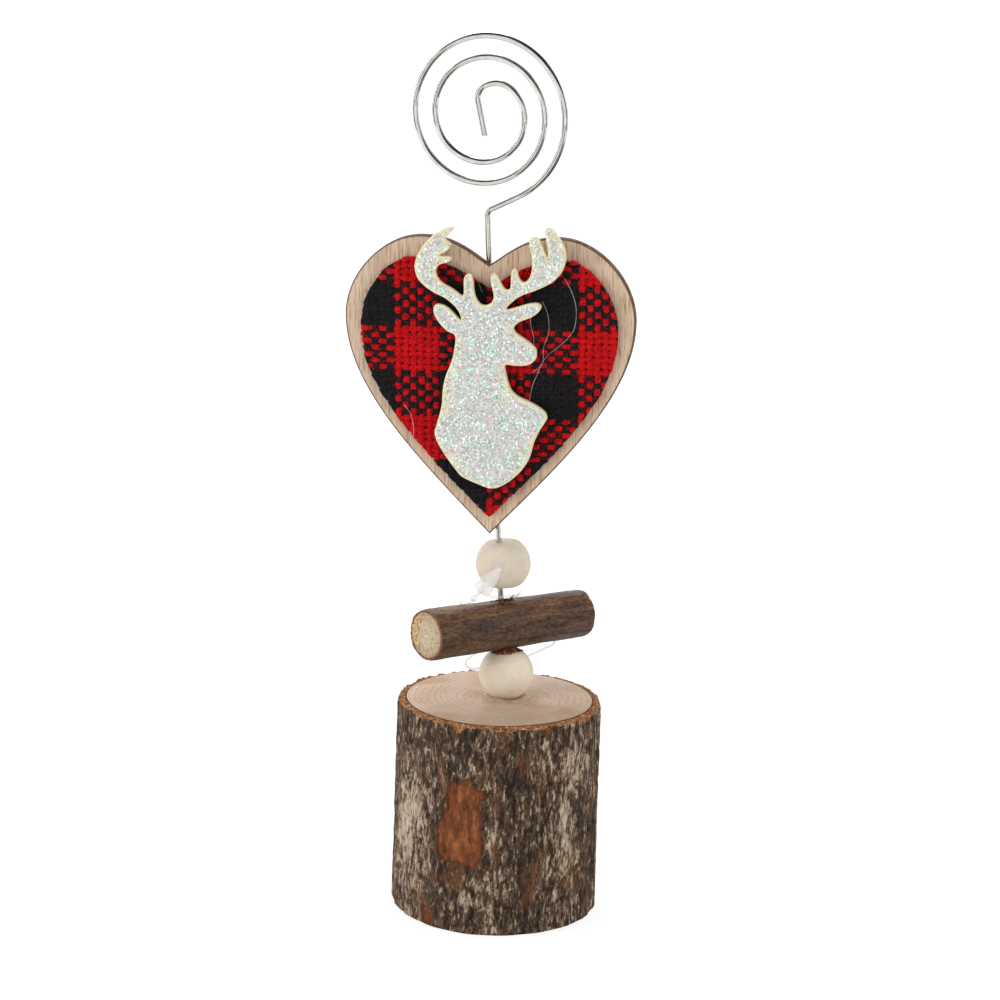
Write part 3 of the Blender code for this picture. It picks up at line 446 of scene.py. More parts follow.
def draw_wire(name, line, radius, sides):
    """A round wire along a line of points, as a smooth mesh with flat ends."""
    curve = bpy.data.curves.new(name, "CURVE")
    curve.dimensions = "3D"
    curve.bevel_depth = radius
    curve.bevel_resolution = sides // 4
    curve.use_fill_caps = True
    spline = curve.splines.new("POLY")
    spline.points.add(len(line) - 1)
    for point, at in zip(spline.points, line):
        point.co = (*at, 1.0)
    spline.use_smooth = True
    new_piece(name, curve)
    bpy.ops.object.convert(target="MESH")
    piece = bpy.context.object
    bpy.ops.object.mode_set(mode="EDIT")
    bpy.ops.mesh.select_all(action="SELECT")
    bpy.ops.mesh.remove_doubles(threshold=0.000001)
    face_out()
    bpy.ops.object.shade_smooth_by_angle(angle=math.radians(50))
    return piece


tail = on_spiral(TAIL_ANGLE)
tail_way = along_spiral(TAIL_ANGLE)
knee_bend = math.pi / 2 - tail_way
knee = Vector((0.0, tail.y - math.tan(tail_way) * tail.x - BEND_RADIUS * math.tan(knee_bend / 2)))
stem_run = [Vector((0.0, -STEM_DEPTH + (knee.y + STEM_DEPTH) * i / STEM_STEPS)) for i in range(STEM_STEPS + 1)]
for i in range(1, BEND_STEPS + 1):
    bend = knee_bend * i / BEND_STEPS
    stem_run.append(knee + BEND_RADIUS * Vector((1 - math.cos(bend), math.sin(bend))))
stem_run += wind(TAIL_ANGLE, SEAM_ANGLE)
free_run = wind(SEAM_ANGLE, COIL_END)
heading = along_spiral(COIL_END)
for arc_radius, sweep in EYE_ARCS:
    middle = free_run[-1] + arc_radius * Vector((-math.sin(heading), math.cos(heading)))
    steps = math.ceil(arc_radius * math.radians(sweep) / STEP)
    for i in range(1, steps + 1):
        bend = heading + math.radians(sweep) * i / steps
        free_run.append(middle + arc_radius * Vector((math.sin(bend), -math.cos(bend))))
    heading += math.radians(sweep)
end_way = Vector((math.cos(heading), math.sin(heading)))
free_run += [free_run[-1] + end_way * EYE_END * i / BEND_STEPS for i in range(1, BEND_STEPS + 1)]

# Bright nickel plate on drawn steel: a clear mirror with faint lines along the drawing and a few dull scuffs
wire_finish, tree, shader = new_finish("bright_nickel_plate")
place = add_node(tree, "TexCoord")["Object"]
scuff = add_node(tree, "TexNoise", {},
                 {"Vector": place, "Scale": PER_MM / 2.5, "Detail": 5.0, "Roughness": 0.7})["Fac"]
dull = add_node(tree, "MapRange", {},
                {"Value": scuff, "From Min": 0.45, "From Max": 0.8, "To Min": 0.03, "To Max": 0.09})[0]
tint = add_node(tree, "ValToRGB", {"stops": ((0.35, "#dcdad7"), (0.75, "#bdb9b3"))}, {"Fac": scuff})["Color"]
pits = add_node(tree, "TexNoise", {}, {"Vector": place, "Scale": PER_MM / 1.5, "Detail": 1.0})["Fac"]
relief = add_node(tree, "Bump", {}, {"Strength": 0.02, "Distance": 0.0001, "Height": pits})[0]
plug(tree, shader, {"Base Color": tint, "Roughness": dull, "Normal": relief, "Metallic": 1.0})
for name, run, body, solid in (("wire_stem", stem_run, "base", "clip_stem"),
                               ("wire_turns", free_run, "clip", "clip_coil")):
    wire = draw_wire(name, [coil_plane @ Vector((p.x, 0, p.y)) for p in run], WIRE_RADIUS, 20)
    wire.data.materials.append(wire_finish)
    fit(wire, body, "plated_wire", solid)

# Beads: two 14 mm turned balls of bare pale wood with flat ends and a bore far wider than the wire,
# so they hang a little off centre. The lower one stands on the log, the upper one is glued to the wire.
BEAD_RADIUS = 0.0070
BEAD_BORE = 0.0022
LOWER_BEAD = Vector((0.0008, 0, 0.0064))
LOWER_HALF = 0.0060
UPPER_BEAD = Vector((0.0010, 0, 0.035425))
UPPER_HALF = 0.0056
BEAD_EASE = 0.00035
STAINS = (
    ((-0.0025, -0.0054, 0.0617), 0.00035, "#a8824a"),
    ((0.0022, -0.0050, 0.0655), 0.00020, "#9a8a72"),
    ((0.0014, -0.0052, 0.0912), 0.00030, "#b79c74"),
)


def pick_edges(test):
    """In edit mode, selects only the edges whose two ends pass the test."""
    bpy.ops.mesh.select_mode(type="EDGE")
    bpy.ops.mesh.select_all(action="DESELECT")
    mesh = bpy.context.object.data
    shape = bmesh.from_edit_mesh(mesh)
    for edge in shape.edges:
        edge.select_set(test(edge.verts[0].co, edge.verts[1].co))
    bmesh.update_edit_mesh(mesh)


def cut_flat(at, outward):
    """In edit mode, cuts off all that lies beyond a plane and closes the cut."""
    bpy.ops.mesh.select_all(action="SELECT")
    bpy.ops.mesh.bisect(plane_co=at, plane_no=outward, use_fill=True, clear_outer=True)


def turn_bead(name, half):
    """A ball cut flat at both ends, bored through and eased along its rims."""
    clear_selection()
    bpy.ops.mesh.primitive_uv_sphere_add(segments=80, ring_count=48, radius=BEAD_RADIUS)
    bead = bpy.context.object
    bead.name = name
    bpy.ops.object.mode_set(mode="EDIT")
    for side in (1, -1):
        cut_flat((0, 0, side * half), (0, 0, side))
    pick_faces(lambda middle, normal: abs(normal.z) > 0.999 and abs(middle.z) > half - 1e-5)
    flat_radius = math.sqrt(BEAD_RADIUS ** 2 - half ** 2)
    bpy.ops.mesh.inset(thickness=flat_radius - BEAD_BORE)
    bpy.ops.mesh.bridge_edge_loops(number_cuts=6)
    rims = (BEAD_BORE, flat_radius)
    pick_edges(lambda a, b: abs(a.z - b.z) < 1e-6 and abs(abs(a.z) - half) < 1e-5
               and any(abs(a.xy.length - r) < 4e-5 and abs(b.xy.length - r) < 4e-5 for r in rims))
    bpy.ops.mesh.bevel(offset=BEAD_EASE, segments=4)
    face_out()
    bpy.ops.object.shade_smooth_by_angle(angle=math.radians(40))
    return bead


# Bare limewood, turned and tumbled smooth: creamy, dull, with faint grain, lathe lines and stray stains; the upper
# bead is a shade greyer as painted light, which leaves the lower bead, in the twig's shade, painted lighter. Its
# pores are drawn at 0.22 mm, coarser than real, so that they show.
bead_finish, tree, shader = new_finish("bare_turned_wood")
place = add_node(tree, "TexCoord")["Object"]
along = add_node(tree, "Mapping", {"vector_type": "TEXTURE"},
                 {"Vector": place, "Rotation": (0.35, 0.6, 0.3), "Scale": (1, 1, 7)})[0]
streak = add_node(tree, "TexNoise", {},
                  {"Vector": along, "Scale": PER_MM / 0.8, "Detail": 4.0, "Distortion": 0.3})["Fac"]
wood = add_node(tree, "ValToRGB", {"stops": ((0.25, "#dacebb"), (0.5, "#dfd5c5"), (0.8, "#dbd0bd"))},
                {"Fac": streak})["Color"]
cloud = add_node(tree, "TexNoise", {}, {"Vector": place, "Scale": PER_MM / 5, "Detail": 3.0})["Fac"]
warmth = add_node(tree, "ValToRGB", {"stops": ((0.35, "#f7efe0"), (0.5, "#fdfaf5"), (0.68, "#f4eee6"))},
                  {"Fac": cloud})["Color"]
warm = add_node(tree, "Mix", {"data_type": "RGBA", "blend_type": "MULTIPLY"}, {0: 0.8, 6: wood, 7: warmth})[2]
pore = add_node(tree, "TexNoise", {}, {"Vector": along, "Scale": PER_MM / 0.22, "Detail": 2.0})["Fac"]
pore_tone = add_node(tree, "ValToRGB", {"stops": ((0.27, "#d3c2a8"), (0.36, "#ffffff"))}, {"Fac": pore})["Color"]
pored = add_node(tree, "Mix", {"data_type": "RGBA", "blend_type": "MULTIPLY"}, {0: 0.6, 6: warm, 7: pore_tone})[2]
# Painted light: the lower bead is left lighter than the upper one, against the shade that the twig casts on it
up_wire = add_node(tree, "SeparateXYZ", {}, {0: place})["Z"]
upper_bead_dimmed = add_node(tree, "MapRange", {}, {"Value": up_wire, "From Min": 0.070, "From Max": 0.078})[0]
stained = add_node(tree, "Mix", {"data_type": "RGBA", "blend_type": "MULTIPLY"},
                   {0: upper_bead_dimmed, 6: pored, 7: tone("#ececec")})[2]
for spot, wide, code in STAINS:
    reach = add_node(tree, "VectorMath", {"operation": "DISTANCE"}, {0: place, 1: spot})["Value"]
    here = add_node(tree, "MapRange", {}, {"Value": reach, "From Min": wide * 0.5, "From Max": wide * 1.5,
                                           "To Min": 0.8, "To Max": 0.0})[0]
    stained = add_node(tree, "Mix", {"data_type": "RGBA"}, {0: here, 6: stained, 7: tone(code)})[2]
lathe = add_node(tree, "TexWave", {"bands_direction": "Z"},
                 {"Vector": place, "Scale": math.tau / 20 * PER_MM / 0.45, "Distortion": 1.5})["Fac"]
fuzz = add_node(tree, "Math", {"operation": "MULTIPLY_ADD"}, {0: lathe, 1: 0.35, 2: pore})[0]
relief = add_node(tree, "Bump", {}, {"Strength": 0.12, "Distance": 0.0002, "Height": fuzz})[0]
plug(tree, shader, {"Base Color": stained, "Normal": relief, "Roughness": 0.68})
for name, centre, half, solid in (("bead_on_log", LOWER_BEAD, LOWER_HALF, "lower_bead"),
                                  ("bead_under_heart", UPPER_BEAD, UPPER_HALF, "upper_bead")):
    bead = turn_bead(name, half)
    lumps = points_of(bead)
    lumps *= 1 + 0.006 * grain(lumps * PER_MM + 30 * (name == "bead_on_log"), 5, 5, 5)[:, None]
    move_points(bead, lumps)
    bead.data.transform(stem @ Matrix.Translation(centre))
    bead.data.materials.append(bead_finish)
    fit(bead, "base", "bare_wood", solid)

# Hot melt: clear glue squeezed out round the foot of the lower bead, in the upper bead's bore, behind
# the stag, and as two lumps over the wire on the plaque's back. It set with rounded, glossy edges.
GLUE_RING = 0.0051
GLUE_ROUND = 0.0011
LUMP_SIZES = (0.0045, 0.0028, 0.0080)
LUMP_FLAT = -0.00105
LUMPS = (("glue_lump_tip", 0.058025, "wire_glue_lower"), ("glue_lump_notch", 0.102025, "wire_glue_upper"))
BORE_GLUE = (
    (0.0, 4.9), (1.2, 4.95), (1.75, 5.05), (1.95, 5.0), (2.02, 4.7), (2.05, 4.0), (2.05, -5.0), (1.9, -5.25),
    (0.9, -5.4), (0.0, -5.45),
)


def from_mm(corners):
    """Corners of a profile, given in millimetres, in metres."""
    return [(radius / PER_MM, height / PER_MM) for radius, height in corners]


# Clear hot melt, set: slightly milky, with a wet gloss that the haze inside it softens
hot_melt, tree, shader = new_finish("clear_hot_melt")
place = add_node(tree, "TexCoord")["Object"]
haze = add_node(tree, "TexNoise", {}, {"Vector": place, "Scale": PER_MM / 1.6, "Detail": 3.0})["Fac"]
milk = add_node(tree, "ValToRGB", {"stops": ((0.3, "#f6efe4"), (0.7, "#fefcf8"))}, {"Fac": haze})["Color"]
cloudy = add_node(tree, "MapRange", {},
                  {"Value": haze, "From Min": 0.3, "From Max": 0.75, "To Min": 0.14, "To Max": 0.28})[0]
relief = add_node(tree, "Bump", {}, {"Strength": 0.06, "Distance": 0.0003, "Height": haze})[0]
plug(tree, shader, {"Base Color": milk, "Roughness": cloudy, "Normal": relief, "IOR": 1.48,
                    "Transmission Weight": 0.7})
clear_selection()
foot_at = stem @ Vector((LOWER_BEAD.x, 0, 0))
bpy.ops.mesh.primitive_torus_add(major_radius=GLUE_RING, minor_radius=GLUE_ROUND, major_segments=120,
                                 minor_segments=28)
glue_ring = bpy.context.object
glue_ring.name = "glue_ring"
bpy.ops.object.mode_set(mode="EDIT")
cut_flat((0, 0, 0), (0, 0, -1))
face_out()
drops = points_of(glue_ring)
bearing = np.arctan2(drops[:, 1], drops[:, 0])
around = np.stack([np.cos(bearing), np.sin(bearing), 0 * bearing], 1) * GLUE_RING * PER_MM
drops[:, :2] *= (1 + 0.10 * grain(around, 3.1, 3.1, 1))[:, None]
drops[:, 2] *= 0.92 + 0.35 * grain(around + 20, 2.4, 2.4, 1)
move_points(glue_ring, drops + np.array((foot_at.x, foot_at.y, LOG_HEIGHT + 0.00002)))
bpy.ops.object.shade_smooth_by_angle(angle=math.radians(50))

# Hot melt as a thin film on the wood: nearly clear, slightly brown from what lies under it, with a wet gloss
glue_film, tree, shader = new_finish("thin_hot_melt_film")
place = add_node(tree, "TexCoord")["Object"]
ripple = add_node(tree, "TexNoise", {}, {"Vector": place, "Scale": PER_MM / 1.4, "Detail": 2.0})["Fac"]
veil = add_node(tree, "ValToRGB", {"stops": ((0.3, "#b0957c"), (0.7, "#cbb59d"))}, {"Fac": ripple})["Color"]
plug(tree, shader, {"Base Color": veil, "Roughness": 0.06, "IOR": 1.48, "Alpha": 0.55})
glue_ring.data.materials.append(glue_film)
glue_ring.visible_shadow = False
fit(glue_ring, "base", "hot_melt", "base_glue")
for name in ("stag_glue_upper", "stag_glue_lower"):
    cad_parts[name].data.materials.clear()
    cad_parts[name].data.materials.append(hot_melt)
for name, up_stem, solid in LUMPS:
    clear_selection()
    bpy.ops.mesh.primitive_uv_sphere_add(segments=56, ring_count=32, radius=1.0, scale=LUMP_SIZES)
    lump = bpy.context.object
    lump.name = name
    bpy.ops.object.transform_apply(scale=True)
    bpy.ops.object.mode_set(mode="EDIT")
    cut_flat((0, LUMP_FLAT, 0), (0, -1, 0))
    face_out()
    blob = points_of(lump)
    wave = grain(blob * PER_MM + up_stem * 900, 3.2, 3.2, 3.2)
    blob[:, [0, 2]] *= (1 + 0.10 * wave)[:, None]
    blob[:, 1] = np.maximum(blob[:, 1] + 0.00018 * wave * (blob[:, 1] > -0.001), LUMP_FLAT)
    move_points(lump, blob)
    lump.data.transform(stem @ Matrix.Translation((0, 0, up_stem)))
    bpy.ops.object.shade_smooth_by_angle(angle=math.radians(50))
    lump.data.materials.append(hot_melt)
    fit(lump, "base", "hot_melt", solid)

bore_glue = spin_profile("bore_glue", from_mm(BORE_GLUE), 40)
bore_glue.data.transform(stem @ Matrix.Translation(UPPER_BEAD))
bore_glue.data.materials.append(hot_melt)
bore_glue.visible_shadow = False
fit(bore_glue, "base", "hot_melt", "upper_bead_glue")

# Twig: a stick of hazel about 13 mm thick, sawn off at both ends and drilled across its middle.
# It lies loose on the lower bead and turns on the wire; the drill tore the bark at both mouths.
TWIG_LENGTH = 0.0485
TWIG_NEAR = 0.00655
TWIG_FAR = 0.00615
TWIG_BARK = 0.0008
TWIG_BORE = 0.0024
END_SKEW = 0.105
TWIG_UP = 0.019275
TWIG_SHIFT = 0.0012
TWIG_TURN = math.radians(44.4)
TWIG_DIP = math.radians(3.4)
TWIG_ROWS = 150
TWIG_STEPS = 170
TWIG_ARC = 6.3
WOOD_OVERLAP = 0.00025
WOOD_INSETS = 9
WOOD_INSET = 0.00058
DRILL_LENGTH = 0.03
twig_way = Vector((math.cos(TWIG_TURN) * math.cos(TWIG_DIP), math.sin(TWIG_TURN) * math.cos(TWIG_DIP),
                   -math.sin(TWIG_DIP)))
twig_at = stem @ Matrix.Translation((0, 0, TWIG_UP))
twig_lie = twig_at @ Matrix.Translation(twig_way * TWIG_SHIFT) @ twig_way.to_track_quat("Z", "Y").to_matrix().to_4x4()
bore_at = Vector((twig_way.x * TWIG_SHIFT, twig_way.y * TWIG_SHIFT, 0))


def drill_twig(piece):
    """Lays a piece of the twig in its place and drills the wire's hole across it."""
    piece.data.transform(twig_lie)
    clear_selection()
    bpy.ops.mesh.primitive_cylinder_add(vertices=48, radius=TWIG_BORE, depth=DRILL_LENGTH)
    drill = bpy.context.object
    drill.data.transform(twig_at @ Matrix.Translation(bore_at))
    pick_piece(piece)
    hole = piece.modifiers.new("hole", "BOOLEAN")
    hole.operation = "DIFFERENCE"
    hole.solver = "EXACT"
    hole.object = drill
    bpy.ops.object.modifier_apply(modifier="hole")
    bpy.data.objects.remove(drill)
    bpy.ops.object.shade_smooth_by_angle(angle=math.radians(45))


def twig_radius(along):
    """Outer radius of the twig, which tapers from its near end to its far end."""
    return TWIG_NEAR + (TWIG_FAR - TWIG_NEAR) * (along / TWIG_LENGTH + 0.5)


half = TWIG_LENGTH / 2
near_rim = [(1 - i / 4, -half) for i in range(5)]
far_rim = [(i / 4, half) for i in range(5)]
sides = [(1.0, half - TWIG_LENGTH * i / TWIG_ROWS) for i in range(1, TWIG_ROWS)]
profile = [(TWIG_NEAR - TWIG_BARK * (1 - share), along) for share, along in far_rim + sides + near_rim]
twig_skin = spin_profile("twig_skin", profile, TWIG_STEPS)
spots = points_of(twig_skin)
radius = np.hypot(spots[:, 0], spots[:, 1])
angle = np.arctan2(spots[:, 1], spots[:, 0])
outer = np.clip((radius - TWIG_NEAR + TWIG_BARK) / TWIG_BARK, 0, 1)
stick = np.stack([TWIG_ARC * np.cos(angle), TWIG_ARC * np.sin(angle), spots[:, 2] * PER_MM], 1)
ridges = grain(stick, 0.55, 0.55, 7.0)
lumps = grain(stick + 30, 4.0, 4.0, 9.0)
warts = np.clip(grain(stick + 60, 0.9, 0.9, 1.1) - 0.38, 0, 1)
swelling = (0.045 * ridges + 0.16 * lumps + 0.35 * warts) * outer
to_end = np.minimum(spots[:, 2] + half, half - spots[:, 2]) * PER_MM
end_line = stick * np.array((1, 1, 0))
ragged = 0.7 * grain(end_line + 5, 2.6, 2.6, 1) + 0.5 * grain(end_line + 8, 0.7, 0.7, 1)
swelling -= outer * 0.28 * np.exp(-to_end / 0.5) * (1 + ragged)
new_radius = radius - TWIG_NEAR + twig_radius(spots[:, 2]) + swelling / PER_MM
new_along = spots[:, 2] * (1 - 0.008 * outer * np.clip(0.5 + ragged, 0, 1.4))
new_along -= END_SKEW * spots[:, 0] * np.exp(-(spots[:, 2] + half) / 0.003)
move_points(twig_skin, np.stack([new_radius * np.cos(angle), new_radius * np.sin(angle), new_along], 1))
note_points(twig_skin, "torn", np.where(outer > 0.99, np.exp(-to_end / 0.45) * (0.7 + 0.6 * ragged), 1.0))
drill_twig(twig_skin)

# Hazel bark: thin, brown, slightly glossy, with violet-brown streaks along the stick, pale dots and
# red-brown torn edges; the side that faces up is painted paler, a painted sheen from the light above
twig_finish, tree, shader = new_finish("hazel_bark")
place = add_node(tree, "TexCoord")["Object"]
lie = twig_lie.to_euler()
stretched = add_node(tree, "Mapping", {"vector_type": "TEXTURE"}, {
    "Vector": place, "Location": twig_lie.translation, "Rotation": lie, "Scale": (1, 1, 6)})[0]
streak = add_node(tree, "TexNoise", {},
                  {"Vector": stretched, "Scale": PER_MM / 1.9, "Detail": 9.0, "Roughness": 0.7})["Fac"]
skin_tone = add_node(tree, "ValToRGB", {"stops": (
    (0.34, "#34251c"), (0.44, "#4e372a"), (0.53, "#5f4632"), (0.62, "#70533a"), (0.76, "#8a6948"),
)}, {"Fac": streak})["Color"]
patch = add_node(tree, "TexNoise", {}, {"Vector": stretched, "Scale": PER_MM / 4.5, "Detail": 4.0})["Fac"]
patch_here = add_node(tree, "MapRange", {}, {"Value": patch, "From Min": 0.50, "From Max": 0.58, "To Max": 0.75})[0]
patched = add_node(tree, "Mix", {"data_type": "RGBA"}, {0: patch_here, 6: skin_tone, 7: tone("#463731")})[2]
shorter = add_node(tree, "Mapping", {"vector_type": "TEXTURE"}, {"Vector": stretched, "Scale": (1, 1, 0.4)})[0]
fine = add_node(tree, "TexNoise", {},
                {"Vector": shorter, "Scale": PER_MM / 0.5, "Detail": 6.0, "Roughness": 0.7})["Fac"]
fine_tone = add_node(tree, "ValToRGB", {"stops": ((0.36, "#75645a"), (0.56, "#ffffff"))}, {"Fac": fine})["Color"]
lined = add_node(tree, "Mix", {"data_type": "RGBA", "blend_type": "MULTIPLY"}, {0: 0.85, 6: patched, 7: fine_tone})[2]
dots = add_node(tree, "TexNoise", {}, {"Vector": place, "Scale": PER_MM / 0.8, "Detail": 3.0})["Fac"]
dot_here = add_node(tree, "MapRange", {}, {"Value": dots, "From Min": 0.64, "From Max": 0.73, "To Max": 0.5})[0]
dotted = add_node(tree, "Mix", {"data_type": "RGBA"}, {0: dot_here, 6: lined, 7: tone("#8f6238")})[2]
# Painted sheen: the side of the stick that faces up is made up to 1.7 times lighter, for the light from above
facing_up = add_node(tree, "SeparateXYZ", {}, {0: stretched})["Y"]
upper = add_node(tree, "MapRange", {}, {"Value": facing_up, "From Min": 0.0015, "From Max": 0.0062})[0]
sheen_painted = add_node(tree, "Mix", {"data_type": "RGBA", "blend_type": "MULTIPLY"},
                    {0: upper, 6: dotted, 7: (1.7, 1.65, 1.6, 1.0)})[2]
torn = add_node(tree, "Attribute", {"attribute_name": "torn"})["Fac"]
torn_ragged = add_node(tree, "Math", {"operation": "MULTIPLY_ADD"}, {0: fine, 1: 0.5, 2: torn})[0]
torn_here = add_node(tree, "MapRange", {}, {"Value": torn_ragged, "From Min": 0.8, "From Max": 1.05})[0]
torn_tone = add_node(tree, "ValToRGB", {"stops": ((0.3, "#4c2c1b"), (0.5, "#74472c"), (0.7, "#9a6a44"))},
                     {"Fac": streak})["Color"]
edged = add_node(tree, "Mix", {"data_type": "RGBA"}, {0: torn_here, 6: sheen_painted, 7: torn_tone})[2]
rub = add_node(tree, "MapRange", {},
               {"Value": streak, "From Min": 0.3, "From Max": 0.7, "To Min": 0.58, "To Max": 0.40})[0]
relief = add_node(tree, "Bump", {}, {"Strength": 0.5, "Distance": 0.0003, "Height": fine})[0]
plug(tree, shader, {"Base Color": edged, "Roughness": rub, "Specular IOR Level": 0.32, "Normal": relief})
twig_skin.data.materials.append(twig_finish)
fit(twig_skin, "twig", "twig_bark", "twig_bark")

clear_selection()
bpy.ops.mesh.primitive_cylinder_add(vertices=112, radius=TWIG_NEAR - TWIG_BARK + WOOD_OVERLAP, depth=TWIG_LENGTH)
twig_wood = bpy.context.object
twig_wood.name = "twig_wood"
bpy.ops.object.mode_set(mode="EDIT")
pick_faces(lambda middle, normal: abs(normal.z) > 0.9)
for ring in range(WOOD_INSETS):
    bpy.ops.mesh.inset(thickness=WOOD_INSET)
bpy.ops.object.mode_set(mode="OBJECT")
spots = points_of(twig_wood)
spots[:, :2] *= (twig_radius(spots[:, 2]) / TWIG_NEAR)[:, None]
fuzz = grain(spots * PER_MM, 0.7, 0.7, 3) + 0.6 * grain(spots * PER_MM + 11, 0.3, 0.3, 3)
spots[:, 2] += np.sign(spots[:, 2]) * ((0.00014 + 0.00012 * (spots[:, 0] > 0.0024)) * fuzz - 0.0001)
spots[:, 2] -= np.where(spots[:, 2] < 0, END_SKEW * spots[:, 0], 0)
move_points(twig_wood, spots)
drill_twig(twig_wood)

# Sawn hazel ends: coarse and pale, with a paler pith, open pores towards one side and a few saw scratches
twig_end, tree, shader = new_finish("sawn_hazel")
place = add_node(tree, "TexCoord")["Object"]
local = add_node(tree, "Mapping", {"vector_type": "TEXTURE"}, {
    "Vector": place, "Location": twig_lie.translation, "Rotation": lie, "Scale": (1, 1, 1)})[0]
flat = add_node(tree, "VectorMath", {"operation": "MULTIPLY"}, {0: local, 1: (1, 1, 0)})[0]
radius = add_node(tree, "VectorMath", {"operation": "LENGTH"}, {0: flat})["Value"]
wander = add_node(tree, "TexNoise", {}, {"Vector": local, "Scale": PER_MM / 3.0, "Detail": 3.0})["Fac"]
bent = add_node(tree, "Math", {"operation": "MULTIPLY_ADD"}, {0: wander, 1: 0.0016, 2: radius})[0]
from_middle = add_node(tree, "Math", {"operation": "MULTIPLY"}, {0: bent, 1: 1 / 0.0068})[0]
rings = add_node(tree, "ValToRGB", {"stops": (
    (0.0, "#d2bb9f"), (0.24, "#c2ae93"), (0.30, "#b8a086"), (0.36, "#bcaa90"),
    (0.66, "#b5a288"), (0.72, "#aa9274"), (0.78, "#b5a187"), (1.0, "#a08463"),
)}, {"Fac": from_middle})["Color"]
pore = add_node(tree, "TexNoise", {},
                {"Vector": local, "Scale": PER_MM / 0.6, "Detail": 5.0, "Roughness": 0.7})["Fac"]
holes = add_node(tree, "ValToRGB", {"stops": ((0.34, "#6f5135"), (0.47, "#ffffff"))}, {"Fac": pore})["Color"]
pored = add_node(tree, "Mix", {"data_type": "RGBA", "blend_type": "MULTIPLY"}, {0: 0.85, 6: rings, 7: holes})[2]
side = add_node(tree, "SeparateXYZ", {}, {0: local})["X"]
side_bent = add_node(tree, "Math", {"operation": "MULTIPLY_ADD"}, {0: wander, 1: 0.002, 2: side})[0]
coarse_here = add_node(tree, "MapRange", {}, {"Value": side_bent, "From Min": 0.0030, "From Max": 0.0036})[0]
coarse = add_node(tree, "ValToRGB", {"stops": ((0.36, "#5f4427"), (0.46, "#a88b61"), (0.62, "#cfb690"))},
                  {"Fac": pore})["Color"]
sawn = add_node(tree, "Mix", {"data_type": "RGBA"}, {0: coarse_here, 6: pored, 7: coarse})[2]
relief = add_node(tree, "Bump", {}, {"Strength": 0.7, "Distance": 0.0004, "Height": pore})[0]
plug(tree, shader, {"Base Color": sawn, "Normal": relief, "Roughness": 0.88})
twig_wood.data.materials.append(twig_end)
fit(twig_wood, "twig", "end_grain", "twig_core")

# Torn bark: where the drill went in and came out it lifted slivers of bark and left a ragged flap below.
# They are still fast to the twig, red-brown inside, and as thin as the bark.
FLAP_STEPS = 40
FLAP_MIDDLE = math.radians(-92)
FLAP_SPAN = math.radians(118)
FLAP_WALL = 0.0007
SLIVERS = 26
SLIVERS_ABOVE = 17
SLIVER_WALL = 0.00022
clear_selection()
bpy.ops.mesh.primitive_grid_add(x_subdivisions=FLAP_STEPS, y_subdivisions=5, size=1.0)
flap = bpy.context.object
flap.name = "torn_flap"
spots = points_of(flap)
turn = FLAP_MIDDLE + FLAP_SPAN * spots[:, 0]
out = spots[:, 1] + 0.5
tear = np.stack([turn * 4, 0 * turn, 0 * turn], 1)
length = 1.9 + 0.7 * grain(tear, 0.9, 1, 1) + 0.5 * grain(tear + 7, 0.3, 1, 1)
reach = 2.7 + out * length * (1 - 0.8 * (2 * spots[:, 0]) ** 4)
drop = -6.20 - 0.75 * out ** 1.4 - 0.18 * grain(tear + 3, 0.5, 1, 1) * out
move_points(flap, np.stack([reach * np.cos(turn), reach * np.sin(turn), drop], 1) / PER_MM)
wall = flap.modifiers.new("wall", "SOLIDIFY")
wall.thickness = FLAP_WALL
wall.offset = 0.0
bpy.ops.object.modifier_apply(modifier="wall")
slivers = [flap]
chance = random.Random(11)
for number in range(SLIVERS):
    clear_selection()
    bpy.ops.mesh.primitive_grid_add(x_subdivisions=5, y_subdivisions=2, size=1.0)
    sliver = bpy.context.object
    spots = points_of(sliver)
    above = number < SLIVERS_ABOVE
    way = chance.uniform(-2.6, 1.2) if above else chance.uniform(-2.3, -0.2)
    long, wide, lift = chance.uniform(1.0, 2.3), chance.uniform(0.6, 1.3), chance.uniform(0.05, 0.45)
    share = spots[:, 0] + 0.5
    x = 1.9 + long * share
    y = wide * spots[:, 1] * (1 - 0.55 * share) + 0.35 * chance.uniform(-1, 1) * share ** 2
    z = 6.0 + lift * long * share + 0.12 * math.sin(number) * share ** 2
    turned = np.stack([x * math.cos(way) - y * math.sin(way), x * math.sin(way) + y * math.cos(way), z], 1)
    if not above:
        turned = np.stack([1.25 * turned[:, 0], 1.25 * turned[:, 1], -6.15 - 0.45 * share], 1)
    move_points(sliver, turned / PER_MM)
    wall = sliver.modifiers.new("wall", "SOLIDIFY")
    wall.thickness = SLIVER_WALL
    bpy.ops.object.modifier_apply(modifier="wall")
    slivers.append(sliver)
clear_selection()
for sliver in slivers:
    sliver.select_set(True)
bpy.context.view_layer.objects.active = flap
bpy.ops.object.join()
bpy.ops.object.mode_set(mode="EDIT")
face_out()
flap.data.transform(twig_at @ Matrix.Translation(bore_at))
bpy.ops.object.shade_smooth_by_angle(angle=math.radians(50))

# Inside of hazel bark: fibrous and dull, red-brown with paler orange strands
torn_finish, tree, shader = new_finish("torn_hazel_bark")
place = add_node(tree, "TexCoord")["Object"]
strand = add_node(tree, "TexNoise", {},
                  {"Vector": place, "Scale": PER_MM / 1.3, "Detail": 6.0, "Roughness": 0.6})["Fac"]
inside_tone = add_node(tree, "ValToRGB", {"stops": (
    (0.34, "#2f1b12"), (0.44, "#5c3420"), (0.53, "#80502f"), (0.63, "#b58a5e"),
)}, {"Fac": strand})["Color"]
relief = add_node(tree, "Bump", {}, {"Strength": 0.6, "Distance": 0.0003, "Height": strand})[0]
plug(tree, shader, {"Base Color": inside_tone, "Normal": relief, "Roughness": 0.85})
flap.data.materials.append(torn_finish)
fit(flap, "twig", "twig_bark")

